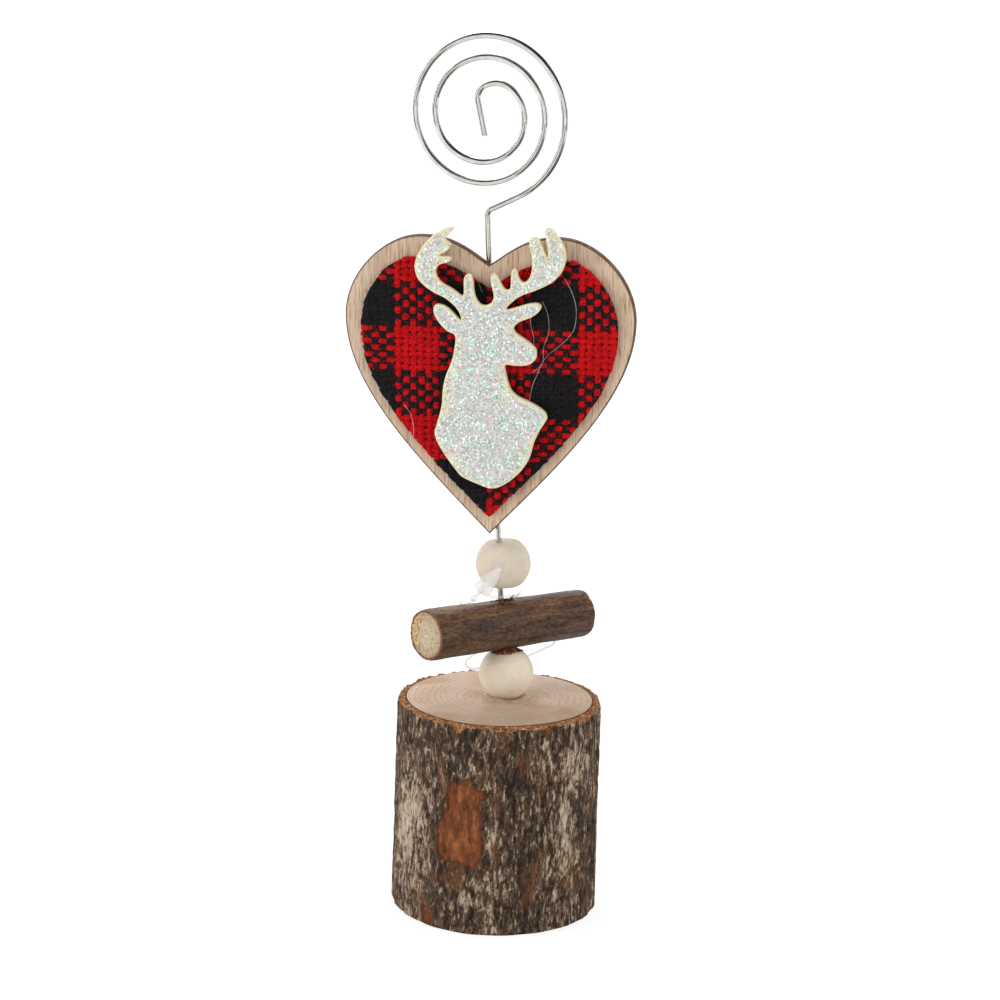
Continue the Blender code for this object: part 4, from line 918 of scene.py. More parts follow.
# Loop tag: a clear polypropylene filament whose barbed head snaps into a conical lock, moulded in one shot.
# It was looped over the wire above the twig to hang a label, and lies slack over and behind the twig.
FILAMENT_RADIUS = 0.00035
LOCK_SEAT = Vector((-0.0031, -0.0106, 0.0116))
LOCK_WAY = Vector((0.0052, 0.0008, 0.0060)).normalized()
BULB_END = 0.0028
RIM_OUT = 0.0027
RIM_UP = 0.0005
FIN_RISE = 0.00012

# The filament's way from the head to the lock, and the outlines of both, in millimetres
FILAMENT_ROUTE = (
    (-6.0, -10.75, 8.5), (-6.95, -9.6, 8.1), (-8.1, -7.5, 7.8), (-10.0, -1.9, 6.2), (-10.5, 1.8, 1.5),
    (-8.6, 4.8, -4.2), (-7.8, 6.3, -7.6), (-8.25, 6.7, -9.6), (-9.6, 6.6, -10.75), (-10.75, 6.4, -11.6),
    (-10.9, 6.4, -12.9), (-9.9, 6.7, -13.85), (-8.4, 7.2, -14.05), (-5.2, 8.8, -13.7), (1.7, 11.1, -12.6),
    (8.1, 13.6, -10.4), (11.0, 15.5, -8.8), (8.7, 17.5, -5.4), (4.5, 15.3, -1.2), (2.2, 11.0, 3.2),
    (3.7, 7.1, 6.6), (4.8, 2.3, 7.4), (3.6, -1.6, 8.0), (1.1, -5.0, 8.6), (-0.4, -8.0, 9.2),
)
LOCK_WALLS = (
    (0.0, 7.8), (0.45, 7.78), (0.70, 7.55), (0.80, 7.1), (0.93, 6.2), (1.18, 5.75), (1.45, 5.0), (1.85, 3.4),
    (2.18, 2.0), (2.40, 1.0), (2.43, 0.6), (2.34, 0.2), (2.10, 0.0), (0.0, 0.0),
)
HEAD_WALLS = (
    (0.0, 3.0), (0.6, 3.0), (0.8, 2.8), (0.8, -0.1), (0.62, -0.6), (0.52, -1.1), (0.58, -1.5), (0.84, -1.9),
    (0.92, -2.35), (0.84, -2.8), (0.62, -3.15), (0.40, -3.4), (0.0, -3.45),
)


def smooth_run(corners, steps):
    """A smooth line through chosen corners."""
    run = []
    held = [corners[0]] + corners + [corners[-1]]
    for i in range(len(corners) - 1):
        before, start, end, after = held[i:i + 4]
        for j in range(steps):
            t = j / steps
            bend = 2 * before - 5 * start + 4 * end - after
            twist = 3 * start - before - 3 * end + after
            run.append(start + 0.5 * ((end - before) * t + bend * t * t + twist * t ** 3))
    return run + [corners[-1]]


# Clear polypropylene as moulded: slightly milky and water-clear in thin parts, with a soft gloss
clear_plastic, tree, shader = new_finish("clear_polypropylene")
place = add_node(tree, "TexCoord")["Object"]
flow = add_node(tree, "TexNoise", {}, {"Vector": place, "Scale": PER_MM / 1.2, "Detail": 3.0})["Fac"]
milk = add_node(tree, "ValToRGB", {"stops": ((0.3, "#d3cfcc"), (0.7, "#e3dfdc"))}, {"Fac": flow})["Color"]
gloss = add_node(tree, "MapRange", {},
                 {"Value": flow, "From Min": 0.3, "From Max": 0.7, "To Min": 0.22, "To Max": 0.34})[0]
relief = add_node(tree, "Bump", {}, {"Strength": 0.03, "Distance": 0.0002, "Height": flow})[0]
plug(tree, shader, {"Base Color": milk, "Roughness": gloss, "Normal": relief, "IOR": 1.49, "Alpha": 0.5})
lock_lie = twig_at @ Matrix.Translation(LOCK_SEAT) @ LOCK_WAY.to_track_quat("Z", "Y").to_matrix().to_4x4()
tag_cone = spin_profile("tag_cone", from_mm(LOCK_WALLS), 96)
spots = points_of(tag_cone)
bearing = np.arctan2(spots[:, 1], spots[:, 0])
wide = np.hypot(spots[:, 0], spots[:, 1])
finned = (spots[:, 2] > 0.0011) & (spots[:, 2] < 0.0061) & (wide > 0.0009)
fins = FIN_RISE * np.abs(np.cos(2 * bearing)) ** 24 * finned
spots[:, :2] *= ((wide + fins) / np.maximum(wide, 1e-6))[:, None]
move_points(tag_cone, spots)
tag_cone.data.transform(lock_lie)
bpy.ops.object.shade_smooth_by_angle(angle=math.radians(40))
tag_barb = spin_profile("tag_barb", from_mm(HEAD_WALLS), 32)
tag_barb.data.transform(lock_lie)
bulb_end = LOCK_SEAT - LOCK_WAY * BULB_END
rim_side = Vector((0, 1, 0)).cross(LOCK_WAY).normalized()
rim_end = LOCK_SEAT + rim_side * RIM_OUT + LOCK_WAY * RIM_UP
route = smooth_run([bulb_end] + [Vector(p) / PER_MM for p in FILAMENT_ROUTE] + [rim_end], 8)
route = [twig_at @ p for p in route]
filament = draw_wire("tag_filament", route, FILAMENT_RADIUS, 12)

# The same plastic drawn thin: almost clear, a pale grey line against the white
thin_plastic, tree, shader = new_finish("drawn_polypropylene")
place = add_node(tree, "TexCoord")["Object"]
draw = add_node(tree, "TexNoise", {}, {"Vector": place, "Scale": PER_MM / 2.0, "Detail": 2.0})["Fac"]
pale_line = add_node(tree, "ValToRGB", {"stops": ((0.3, "#b9b5b1"), (0.7, "#d0ccc8"))}, {"Fac": draw})["Color"]
plug(tree, shader, {"Base Color": pale_line, "Roughness": 0.25, "IOR": 1.49, "Alpha": 0.3})
for piece, solid, finish in ((tag_cone, "tag_lock", clear_plastic), (tag_barb, "tag_head", clear_plastic),
                             (filament, "tag_loop", thin_plastic)):
    piece.data.materials.append(finish)
    piece.visible_shadow = False
    fit(piece, "twig", "clear_plastic", solid)

# Heart plaque: 3 mm plywood cut out by laser, so its edge is burnt brown and a thin scorch runs round
# both faces. It is glued to the front of the wire, its face grain upright.
PLAQUE_TIP = 0.044025
PLAQUE_BACK = -0.0011
PLAQUE_FRONT = -0.0039
PLAQUE_SIDE = -0.00155
PLAQUE_TURN = math.radians(1.92)
PLAQUE_EASE = 0.00012
SCORCH_BAND = 0.00055
heart = stem @ Matrix.Translation((PLAQUE_SIDE, 0, PLAQUE_TIP)) @ Matrix.Rotation(PLAQUE_TURN, 4, "Y")


def curve_run(start, out, into, end, steps):
    """Points of one curve between two corners with their handles, without the last."""
    run = []
    for i in range(steps):
        t = i / steps
        s = 1 - t
        run.append(Vector(start) * s ** 3 + Vector(out) * 3 * s * s * t
                   + Vector(into) * 3 * s * t * t + Vector(end) * t ** 3)
    return run


def heart_line(width, height, notch, lobe_at, steps):
    """A heart that stands on its tip at the origin, across and up, right half first."""
    half = width / 2
    side, lobe, dip = (half, 0.729 * height), (lobe_at * half, height), (0.0, height - notch)
    right = curve_run((0.0, 0.0), (0.5 * half, 0.248 * height), (half, 0.484 * height), side, 3 * steps)
    right += curve_run(side, (half, 0.868 * height), (lobe[0] + 0.5 * (half - lobe[0]), height), lobe, 2 * steps)
    right += curve_run(lobe, (0.5 * lobe[0], height), (0.113 * half, dip[1] + 0.034 * height), dip, 2 * steps)
    left = [Vector((-p.x, p.y)) for p in reversed(right[1:])]
    return right + [Vector(dip)] + left


def cut_plate(name, line, back, front, ease):
    """A plate cut to a line in the heart's plane, between two depths, with slightly eased edges."""
    clear_selection()
    bpy.ops.mesh.primitive_circle_add(vertices=len(line), radius=0.01, fill_type="NGON")
    piece = bpy.context.object
    piece.name = name
    move_points(piece, [(p.x, back, p.y) for p in line])
    bpy.ops.object.mode_set(mode="EDIT")
    bpy.ops.mesh.select_all(action="SELECT")
    bpy.ops.mesh.extrude_region_move(TRANSFORM_OT_translate={"value": (0, front - back, 0)})
    bpy.ops.mesh.select_all(action="SELECT")
    bpy.ops.mesh.normals_make_consistent(inside=False)
    pick_edges(lambda a, b: abs(a.y - b.y) < 1e-7)
    bpy.ops.mesh.bevel(offset=ease, segments=2)
    pick_faces(lambda middle, normal: abs(normal.y) > 0.99)
    return piece


plaque_line = heart_line(width=0.0731, height=0.0755, notch=0.0071, lobe_at=0.47, steps=12)
plaque = cut_plate("plywood_heart", plaque_line, PLAQUE_BACK, PLAQUE_FRONT, PLAQUE_EASE)
bpy.ops.mesh.inset(thickness=SCORCH_BAND)
bpy.ops.object.mode_set(mode="OBJECT")
inner = np.zeros(len(plaque.data.vertices), bool)
for face in plaque.data.polygons:
    if len(face.vertices) > 20:
        inner[list(face.vertices)] = True
note_points(plaque, "scorch", np.where(inner, 0.0, 1.0))
plaque.data.transform(heart)
bpy.ops.object.shade_smooth_by_angle(angle=math.radians(30))

# Birch or basswood plywood, sanded and bare: pale with upright brown pores, and charred along the laser
# cut. The pores are drawn 0.36 mm wide, coarser than real, so that they show.
ply_finish, tree, shader = new_finish("laser_cut_plywood")
place = add_node(tree, "TexCoord")["Object"]
plank = add_node(tree, "Mapping", {"vector_type": "TEXTURE"},
                 {"Vector": place, "Rotation": (0, STEM_LEAN + PLAQUE_TURN, 0), "Scale": (1, 1, 16)})[0]
band = add_node(tree, "TexNoise", {},
                {"Vector": plank, "Scale": PER_MM / 3.2, "Detail": 3.0, "Distortion": 0.4})["Fac"]
face_tone = add_node(tree, "ValToRGB", {"stops": (
    (0.28, "#b0967d"), (0.42, "#c2aa91"), (0.55, "#cab49d"), (0.70, "#b89f87"),
)}, {"Fac": band})["Color"]
hair = add_node(tree, "TexNoise", {},
                {"Vector": plank, "Scale": PER_MM / 0.36, "Detail": 2.0, "Roughness": 0.6})["Fac"]
hair_tone = add_node(tree, "ValToRGB", {"stops": ((0.27, "#88694f"), (0.38, "#cebaa6"), (0.50, "#ffffff"))},
                     {"Fac": hair})["Color"]
pored = add_node(tree, "Mix", {"data_type": "RGBA", "blend_type": "MULTIPLY"},
                 {0: 0.78, 6: face_tone, 7: hair_tone})[2]
scorch = add_node(tree, "Attribute", {"attribute_name": "scorch"})["Fac"]
soot = add_node(tree, "TexNoise", {}, {"Vector": place, "Scale": PER_MM / 1.5, "Detail": 3.0})["Fac"]
burn = add_node(tree, "Math", {"operation": "MULTIPLY_ADD"}, {0: soot, 1: 0.7, 2: scorch})[0]
burn_here = add_node(tree, "MapRange", {}, {"Value": burn, "From Min": 0.72, "From Max": 1.12})[0]
char = add_node(tree, "ValToRGB", {"stops": ((0.30, "#3c2618"), (0.5, "#5e402c"), (0.75, "#82614a"))},
                {"Fac": soot})["Color"]
burnt = add_node(tree, "Mix", {"data_type": "RGBA"}, {0: burn_here, 6: pored, 7: char})[2]
relief = add_node(tree, "Bump", {}, {"Strength": 0.25, "Distance": 0.0002, "Height": hair})[0]
plug(tree, shader, {"Base Color": burnt, "Normal": relief, "Roughness": 0.72})
plaque.data.materials.append(ply_finish)
fit(plaque, "base", "plywood", "heart_plaque")

# Woven patch: a smaller heart cut from coarse red and black check, a plain weave of soft wool-like yarn, six yarns to
# a check across and seven up, glued flat on the plaque over a thin backing whose dark colour is painted shade for the
# gaps between the yarns.
PATCH_UP = 0.0045
PATCH_BACK = -0.00415
PATCH_MIDDLE = -0.00470
WARP = {"pitch": 0.001933, "first": -0.0239, "band": 6, "red": 0, "wide": 0.00088, "thick": 0.00032}
WEFT = {"pitch": 0.001606, "first": 0.0078, "band": 7, "red": 1, "wide": 0.00074, "thick": 0.00030}
YARN_WAVE = 0.00027
YARN_SWAY = 0.00040
YARN_SIDES = 10
YARN_POINTS = 6
RED_WIDTH = 0.85
BLACK_WIDTH = 1.12
patch_line = heart_line(width=0.0649, height=0.0654, notch=0.0072, lobe_at=0.60, steps=14)
patch_line = [p + Vector((0, PATCH_UP)) for p in patch_line]


def spans_across(line, at, axis):
    """Where a straight line at one place crosses an outline: pairs of start and end."""
    cuts = []
    for a, b in zip(line, line[1:] + line[:1]):
        if (a[axis] > at) != (b[axis] > at):
            cuts.append(a[1 - axis] + (at - a[axis]) / (b[axis] - a[axis]) * (b[1 - axis] - a[1 - axis]))
    cuts.sort()
    return list(zip(cuts[::2], cuts[1::2]))


def is_red(yarn, number):
    """Whether a yarn lies in a red band of its direction."""
    return (number // yarn["band"]) % 2 == yarn["red"]


def weave(name, axis, yarn, other):
    """All yarns of one direction as soft tubes that pass over and under the others, cut along the outline."""
    chance = random.Random(31 + axis)
    points, faces, colours, wraps = [], [], [], []
    low, high = min(p[axis] for p in patch_line), max(p[axis] for p in patch_line)
    turns = [math.tau * k / YARN_SIDES for k in range(YARN_SIDES)]
    low_yarn = math.floor((low - yarn["first"]) / yarn["pitch"])
    high_yarn = math.ceil((high - yarn["first"]) / yarn["pitch"])
    for number in range(low_yarn, high_yarn):
        at = yarn["first"] + (number + 0.5) * yarn["pitch"]
        dyed_width = yarn["wide"] * (RED_WIDTH if is_red(yarn, number) else BLACK_WIDTH)
        seed = chance.uniform(0, 900)
        edges = [spans_across(patch_line, at + yarn["wide"] * math.cos(turn), axis) for turn in turns]
        for part, (start, end) in enumerate(spans_across(patch_line, at, axis)):
            sides = [edge[part] if len(edge) > part else (start, end) for edge in edges]
            sides = [side if side[0] < end and side[1] > start else (start, end) for side in sides]
            start = max(start - yarn["pitch"], min(side[0] for side in sides))
            end = min(end + yarn["pitch"], max(side[1] for side in sides))
            if end - start < 2 * yarn["wide"]:
                continue
            steps = max(4, round((end - start) / other["pitch"] * YARN_POINTS))
            first = len(points)
            for i in range(steps + 1):
                run = start + (end - start) * i / steps
                phase = math.pi * ((run - other["first"]) / other["pitch"] - 0.5 + number)
                over = math.cos(phase) if axis == 0 else -math.cos(phase)
                slope = (-math.sin(phase) if axis == 0 else math.sin(phase)) * math.pi * YARN_WAVE / other["pitch"]
                lean = math.hypot(1, slope)
                sway = YARN_SWAY * noise.noise(Vector((run * 420, seed, 0)))
                wide = dyed_width * (0.93 + 0.30 * noise.noise(Vector((run * 700, seed, 5))) + 0.08 * over)
                thick = yarn["thick"] * (1 + 0.16 * noise.noise(Vector((run * 800, seed, 9))))
                for turn, (near, far) in zip(turns, sides):
                    lump = 1 + 0.17 * noise.noise(Vector((run * 2600, seed, 3 * math.cos(turn))))
                    side = at + sway + wide * lump * math.cos(turn)
                    deep = thick * lump * math.sin(turn)
                    ahead = min(max(run - deep * slope / lean, near), far)
                    x, z = (side, ahead) if axis == 0 else (ahead, side)
                    points.append((x, PATCH_MIDDLE - over * YARN_WAVE - deep / lean, z))
            for i in range(steps):
                below, above = ((start + (end - start) * j / steps) * PER_MM for j in (i, i + 1))
                row, next_row = first + i * YARN_SIDES, first + (i + 1) * YARN_SIDES
                for k in range(YARN_SIDES):
                    after = (k + 1) % YARN_SIDES
                    faces.append((row + k, row + after, next_row + after, next_row + k))
                    u, v = k / YARN_SIDES, (k + 1) / YARN_SIDES
                    wraps += [(u, below), (v, below), (v, above), (u, above)]
            for ring in (range(first + YARN_SIDES - 1, first - 1, -1), range(len(points) - YARN_SIDES, len(points))):
                faces.append(tuple(ring))
                wraps += [(0.5, 0.0)] * YARN_SIDES
            colours += [0 if is_red(yarn, number) else 1] * (len(faces) - len(colours))
    mesh = bpy.data.meshes.new(name)
    mesh.from_pydata(points, [], faces)
    mesh.polygons.foreach_set("material_index", colours)
    mesh.uv_layers.new(name="yarn").data.foreach_set("uv", [value for pair in wraps for value in pair])
    mesh.transform(heart)
    piece = new_piece(name, mesh)
    bpy.ops.object.mode_set(mode="EDIT")
    face_out()
    bpy.ops.object.shade_smooth_by_angle(angle=math.radians(60))
    return piece


def dyed_yarn(name, dark, middle, light):
    """Soft two-ply yarn: slanting twist lines painted as light and shade along the plies, hardly any shine, and
    fibres drawn coarse so that they show.
    """
    material, tree, shader = new_finish(name)
    place = add_node(tree, "TexCoord")["Object"]
    wrap = add_node(tree, "SeparateXYZ", {}, {0: add_node(tree, "UVMap", {"uv_map": "yarn"})[0]})
    lay = add_node(tree, "Math", {"operation": "MULTIPLY_ADD"}, {0: wrap["Y"], 1: 0.9, 2: wrap["X"]})[0]
    # Painted light and shade: the twist lines make the yarn's colour lighter on the plies and darker in the grooves
    # between them
    ply = add_node(tree, "Math", {"operation": "PINGPONG"}, {0: lay, 1: 0.5})[0]
    fibre = add_node(tree, "TexNoise", {},
                     {"Vector": place, "Scale": PER_MM / 0.34, "Detail": 6.0, "Roughness": 0.7})["Fac"]
    mixed = add_node(tree, "Math", {"operation": "MULTIPLY_ADD"}, {0: ply, 1: 0.30, 2: fibre})[0]
    dye_and_groove_shade = add_node(tree, "ValToRGB", {"stops": ((0.38, dark), (0.56, middle), (0.76, light))},
                   {"Fac": mixed})["Color"]
    relief = add_node(tree, "Bump", {}, {"Strength": 0.8, "Distance": 0.0002, "Height": mixed})[0]
    plug(tree, shader, {"Base Color": dye_and_groove_shade, "Normal": relief, "Roughness": 0.95, "Specular IOR Level": 0.06,
                        "Sheen Weight": 0.06, "Sheen Roughness": 0.5})
    return material


red_yarn = dyed_yarn("scarlet_wool_yarn", "#82070c", "#c00b12", "#d8181f")
black_yarn = dyed_yarn("charcoal_wool_yarn", "#0f0e0f", "#191718", "#2a2829")
warp_yarns = weave("warp_yarns", 0, WARP, WEFT)
weft_yarns = weave("weft_yarns", 1, WEFT, WARP)

# Fuzz: loose wool fibres that stand off the yarns where they were brushed, each in the colour of the yarn
# that it left. They are 0.04 mm thick, somewhat thicker than real, so that they show.
FIBRES = 7500
FIBRE_STEPS = 4
FIBRE_RADIUS = 0.00002
chance = random.Random(5)
points, faces, colours = [], [], []
inner_line = [(p.x * PER_MM, p.y * PER_MM) for p in patch_line]
tries = np.array([(chance.uniform(-32, 32), chance.uniform(5, 69)) for i in range(FIBRES * 2)])
for (x, z), deep in zip(tries, inside_by(inner_line, tries[:, 0], tries[:, 1])):
    if deep < 0.2 or len(points) >= FIBRES * 3 * (FIBRE_STEPS + 1):
        continue
    across, up = (x / PER_MM - WARP["first"]) / WARP["pitch"], (z / PER_MM - WEFT["first"]) / WEFT["pitch"]
    warp_over = (math.floor(across) + math.floor(up)) % 2 == 0
    red = is_red(WARP, math.floor(across)) if warp_over else is_red(WEFT, math.floor(up))
    way, curl = chance.uniform(0, math.tau), chance.uniform(-2.4, 2.4)
    at = Vector((x / PER_MM, PATCH_MIDDLE - 0.00050, z / PER_MM))
    length, lift = chance.uniform(0.0007, 0.0022), chance.uniform(0.00004, 0.00034)
    first = len(points)
    for i in range(FIBRE_STEPS + 1):
        share = i / FIBRE_STEPS
        here = at + Vector((0, -lift * math.sin(math.pi * (0.15 + 0.7 * share)), 0))
        side = Vector((-math.sin(way), 0, math.cos(way))) * FIBRE_RADIUS
        points += [here + side, here - side, here + Vector((0, -1.5 * FIBRE_RADIUS, 0))]
        at = at + Vector((math.cos(way), 0, math.sin(way))) * length / FIBRE_STEPS
        way += curl / FIBRE_STEPS
    last = len(points) - 3
    for i in range(FIBRE_STEPS):
        for k in range(3):
            a, b = first + 3 * i + k, first + 3 * i + (k + 1) % 3
            faces.append((a, b, b + 3, a + 3))
    faces += [(first + 2, first + 1, first), (last, last + 1, last + 2)]
    colours += [0 if red else 1] * (len(faces) - len(colours))
mesh = bpy.data.meshes.new("yarn_fuzz")
mesh.from_pydata(points, [], faces)
mesh.polygons.foreach_set("material_index", colours)
mesh.uv_layers.new(name="yarn")
mesh.transform(heart)
yarn_fuzz = new_piece("yarn_fuzz", mesh)
for yarns in (warp_yarns, weft_yarns, yarn_fuzz):
    yarns.data.materials.append(red_yarn)
    yarns.data.materials.append(black_yarn)
    fit(yarns, "base", "woven_wool")
backing_line = [Vector((p.x * 0.996, PATCH_UP + (p.y - PATCH_UP) * 0.996 + 0.00015)) for p in patch_line]
backing = cut_plate("patch_backing", backing_line, PATCH_BACK + 0.0002, PATCH_BACK - 0.00010, 0.00004)
bpy.ops.object.mode_set(mode="OBJECT")
backing.data.transform(heart)

# Fused backing cloth: nearly black-red and dull, with the print of the weave; its darkness is painted shade, seen
# through the gaps between the yarns
gap_shade_finish, tree, shader = new_finish("backing_gap_shade")
place = add_node(tree, "TexCoord")["Object"]
weave_print = add_node(tree, "TexNoise", {}, {"Vector": place, "Scale": PER_MM / 0.5, "Detail": 3.0})["Fac"]
shade = add_node(tree, "ValToRGB", {"stops": ((0.35, "#240608"), (0.65, "#4d0a0e"))}, {"Fac": weave_print})["Color"]
plug(tree, shader, {"Base Color": shade, "Roughness": 0.95})
backing.data.materials.append(gap_shade_finish)
fit(backing, "base", "woven_wool", "plaid_patch")

# Stag: a head and neck die-cut from 2 mm white craft foam with iridescent glitter bonded on its face.
# It is held off the cloth by two dabs of hot melt; its cut edges show the creamy bare foam.
STAG_BACK = -0.00615
STAG_FRONT = -0.00815
STAG_EASE = 0.00028
to_heart = heart.inverted()
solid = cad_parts["stag_cutout"].data
front_edges = set()
for face in solid.polygons:
    corners = [to_heart @ solid.vertices[i].co for i in face.vertices]
    if (corners[1] - corners[0]).cross(corners[2] - corners[0]).normalized().y < -0.9:
        keys = [(round(c.x, 6), round(c.z, 6)) for c in corners]
        for a, b in zip(keys, keys[1:] + keys[:1]):
            if (b, a) in front_edges:
                front_edges.remove((b, a))
            else:
                front_edges.add((a, b))
following = dict(front_edges)
corner = min(following)
stag_corners = []
while corner in following:
    stag_corners.append(Vector(corner))
    corner = following.pop(corner)
stag_line = smooth_run(stag_corners + [stag_corners[0]], 4)[:-1]
stag = cut_plate("foam_stag", stag_line, STAG_BACK, STAG_FRONT, STAG_EASE)
pick_faces(lambda middle, normal: normal.y < -0.99)
bpy.ops.mesh.quads_convert_to_tris(ngon_method="BEAUTY")
bpy.ops.mesh.subdivide(number_cuts=3)
bpy.ops.object.mode_set(mode="OBJECT")
spots = points_of(stag) * PER_MM
stag_mm = [(p.x * PER_MM, p.y * PER_MM) for p in stag_line]
from_edge = np.clip(inside_by(stag_mm, spots[:, 0], spots[:, 2]) - STAG_EASE * PER_MM, 0, None)
bare = 0.9 * np.exp(-from_edge / 0.40)
bare += 0.3 * np.clip((spots[:, 2] - 60) / 8, 0, 1)
note_points(stag, "rim", np.where(spots[:, 1] < STAG_FRONT * PER_MM + 0.02, np.clip(bare, 0, 1), 1.0))
stag.data.transform(heart)
bpy.ops.object.shade_smooth_by_angle(angle=math.radians(40))

# Glitter foam: clear glue full of film flakes over white foam, so the face is pearly and speckled, its pale specks
# partly the glitter's own colour and partly painted glints, and the cut edge and a thin rim along it are creamy and
# matt
foam, tree, shader = new_finish("white_glitter_foam")
place = add_node(tree, "TexCoord")["Object"]
rim = add_node(tree, "Attribute", {"attribute_name": "rim"})["Fac"]
# The pale specks are partly the glitter's own colour and partly painted glints
cells = add_node(tree, "TexVoronoi", {}, {"Vector": place, "Scale": PER_MM / 0.36})
speck = add_node(tree, "SeparateColor", {}, {0: cells["Color"]})
pearl_and_glint_speck = add_node(tree, "ValToRGB", {"stops": (
    (0.0, "#abacaa"), (0.3, "#c0c0bc"), (0.6, "#cbc7c3"), (0.85, "#c4ccc4"), (1.0, "#e2e3da"),
)}, {"Fac": speck[0]})["Color"]
cell_wall = add_node(tree, "TexNoise", {}, {"Vector": place, "Scale": PER_MM / 0.5, "Detail": 4.0})["Fac"]
cut_tone = add_node(tree, "ValToRGB", {"stops": ((0.3, "#c4ba92"), (0.5, "#d9d0ac"), (0.7, "#e3dcc0"))},
                    {"Fac": cell_wall})["Color"]
creep = add_node(tree, "Math", {"operation": "MULTIPLY_ADD"}, {0: cell_wall, 1: 0.5, 2: rim})[0]
bare_rim = add_node(tree, "MapRange", {}, {"Value": creep, "From Min": 0.35, "From Max": 1.2})[0]
both = add_node(tree, "Mix", {"data_type": "RGBA"}, {0: bare_rim, 6: pearl_and_glint_speck, 7: cut_tone})[2]
shine = add_node(tree, "MapRange", {}, {"Value": speck[1], "To Min": 0.35, "To Max": 0.75})[0]
relief = add_node(tree, "Bump", {}, {"Strength": 0.4, "Distance": 0.0002, "Height": speck[2]})[0]
plug(tree, shader, {"Base Color": both, "Roughness": shine, "Normal": relief})
stag.data.materials.append(foam)
fit(stag, "base", "glitter_foam", "stag_cutout")

# Glitter: hexagons of iridescent film some 0.4 mm across, scattered flat and tilted over the stag's face
# and held in clear glue. Some are painted bright white, mint or cream as painted glints, and these are drawn larger
# than real, so that they show.
FLAKE = 0.00025
FILM = 0.00002
FLAKE_TRIES = 9000
FLAKE_TILT = 0.32
FLAKE_OUT = 0.00006
BRIGHT_FLAKE = 1.6
chance = random.Random(7)
points, faces, hues = [], [], []
left, right = min(p.x for p in stag_line), max(p.x for p in stag_line)
bottom, top = min(p.y for p in stag_line), max(p.y for p in stag_line)
tries = np.array([(chance.uniform(left, right), chance.uniform(bottom, top)) for i in range(FLAKE_TRIES)]) * PER_MM
depth_in = inside_by(stag_mm, tries[:, 0], tries[:, 1])
for (x, z), deep in zip(tries, depth_in):
    if deep < 0.25 + 0.5 * chance.random():
        continue
    lie = Matrix.Rotation(chance.gauss(0, FLAKE_TILT), 3, "X") @ Matrix.Rotation(chance.gauss(0, FLAKE_TILT), 3, "Z")
    turn, wide, hue = chance.uniform(0, math.tau), FLAKE * chance.uniform(0.6, 1.0), chance.random()
    # Painted glints: the flakes whose hue paints them mint, white or cream are the ones drawn larger
    wide *= BRIGHT_FLAKE if 0.50 < hue < 0.66 or hue > 0.88 else 1.0
    first = len(points)
    for layer in (0, FILM):
        for k in range(6):
            way = turn + math.tau * k / 6
            corner = lie @ Vector((math.cos(way) * wide, layer, math.sin(way) * wide))
            points.append((x / PER_MM + corner.x, STAG_FRONT - FLAKE_OUT + corner.y, z / PER_MM + corner.z))
    faces += [tuple(range(first, first + 6)), tuple(range(first + 11, first + 5, -1))]
    for k in range(6):
        after = (k + 1) % 6
        faces.append((first + after, first + k, first + 6 + k, first + 6 + after))
    hues += [hue] * 8
mesh = bpy.data.meshes.new("glitter_flakes")
mesh.from_pydata(points, [], faces)
mesh.attributes.new("hue", "FLOAT", "FACE").data.foreach_set("value", hues)
mesh.transform(heart)
glitter = new_piece("glitter_flakes", mesh)

# Iridescent film: slightly metallic; each flake has a fixed colour, most grey or white and some mint, pink or yellow,
# the bright ones painted glints of the film
film, tree, shader = new_finish("iridescent_film_flakes")
hue = add_node(tree, "Attribute", {"attribute_name": "hue"})["Fac"]
glint_tone = add_node(tree, "ValToRGB", {"stops": (
    (0.0, "#a9a8a6"), (0.45, "#cdcac6"), (0.50, "#aefbe0"), (0.66, "#f2fffb"), (0.70, "#f0b9d6"), (0.84, "#e6cddc"),
    (0.88, "#ffffff"), (0.97, "#f4f4ee"), (1.0, "#efe9c6"),
)}, {"Fac": hue})["Color"]
plug(tree, shader, {"Base Color": glint_tone, "Metallic": 0.22, "Roughness": 0.16})
glitter.data.materials.append(film)
fit(glitter, "base", "glitter_foam")

# Glue threads: hair-thin strings of hot melt that the glue gun drew out when the stag was fixed.
# They lie loose over the cloth beside the stag and stick to it at their ends.
THREAD_RADIUS = 0.000045
THREAD_OUT = 0.0056
THREAD_WAVE = 0.0003
THREADS = (
    ((19.0, 66.0), (21.0, 62.5), (22.0, 58.0), (21.4, 53.0), (18.5, 49.5), (14.5, 46.0), (12.3, 41.5), (11.0, 38.0),
     (9.8, 31.0)),
    ((13.6, 60.0), (14.9, 57.0), (15.2, 52.5), (14.0, 48.5), (13.6, 44.5), (11.0, 42.0)),
    ((10.6, 57.5), (10.7, 54.0), (11.5, 50.0), (11.0, 45.0)),
    ((-10.5, 70.0), (-7.0, 69.3), (-3.5, 66.5), (-1.5, 62.0)),
    ((-21.5, 33.0), (-19.6, 30.0), (-19.0, 25.5), (-20.5, 22.5)),
)

# Drawn hot melt: so thin that it looks white against the cloth
thread_finish, tree, shader = new_finish("drawn_hot_melt")
place = add_node(tree, "TexCoord")["Object"]
bead_up = add_node(tree, "TexNoise", {}, {"Vector": place, "Scale": PER_MM / 1.5})["Fac"]
white = add_node(tree, "ValToRGB", {"stops": ((0.3, "#cfcac6"), (0.7, "#f3f1ee"))}, {"Fac": bead_up})["Color"]
plug(tree, shader, {"Base Color": white, "Roughness": 0.3, "Alpha": 0.4})
for number, thread in enumerate(THREADS):
    corners = [Vector((x / PER_MM, -THREAD_OUT - THREAD_WAVE * math.sin(2.1 * i + number), z / PER_MM))
               for i, (x, z) in enumerate(thread)]
    string = draw_wire("glue_thread_%d" % (number + 1), [heart @ p for p in smooth_run(corners, 8)], THREAD_RADIUS, 8)
    string.data.materials.append(thread_finish)
    string.visible_shadow = False
    fit(string, "base", "hot_melt")

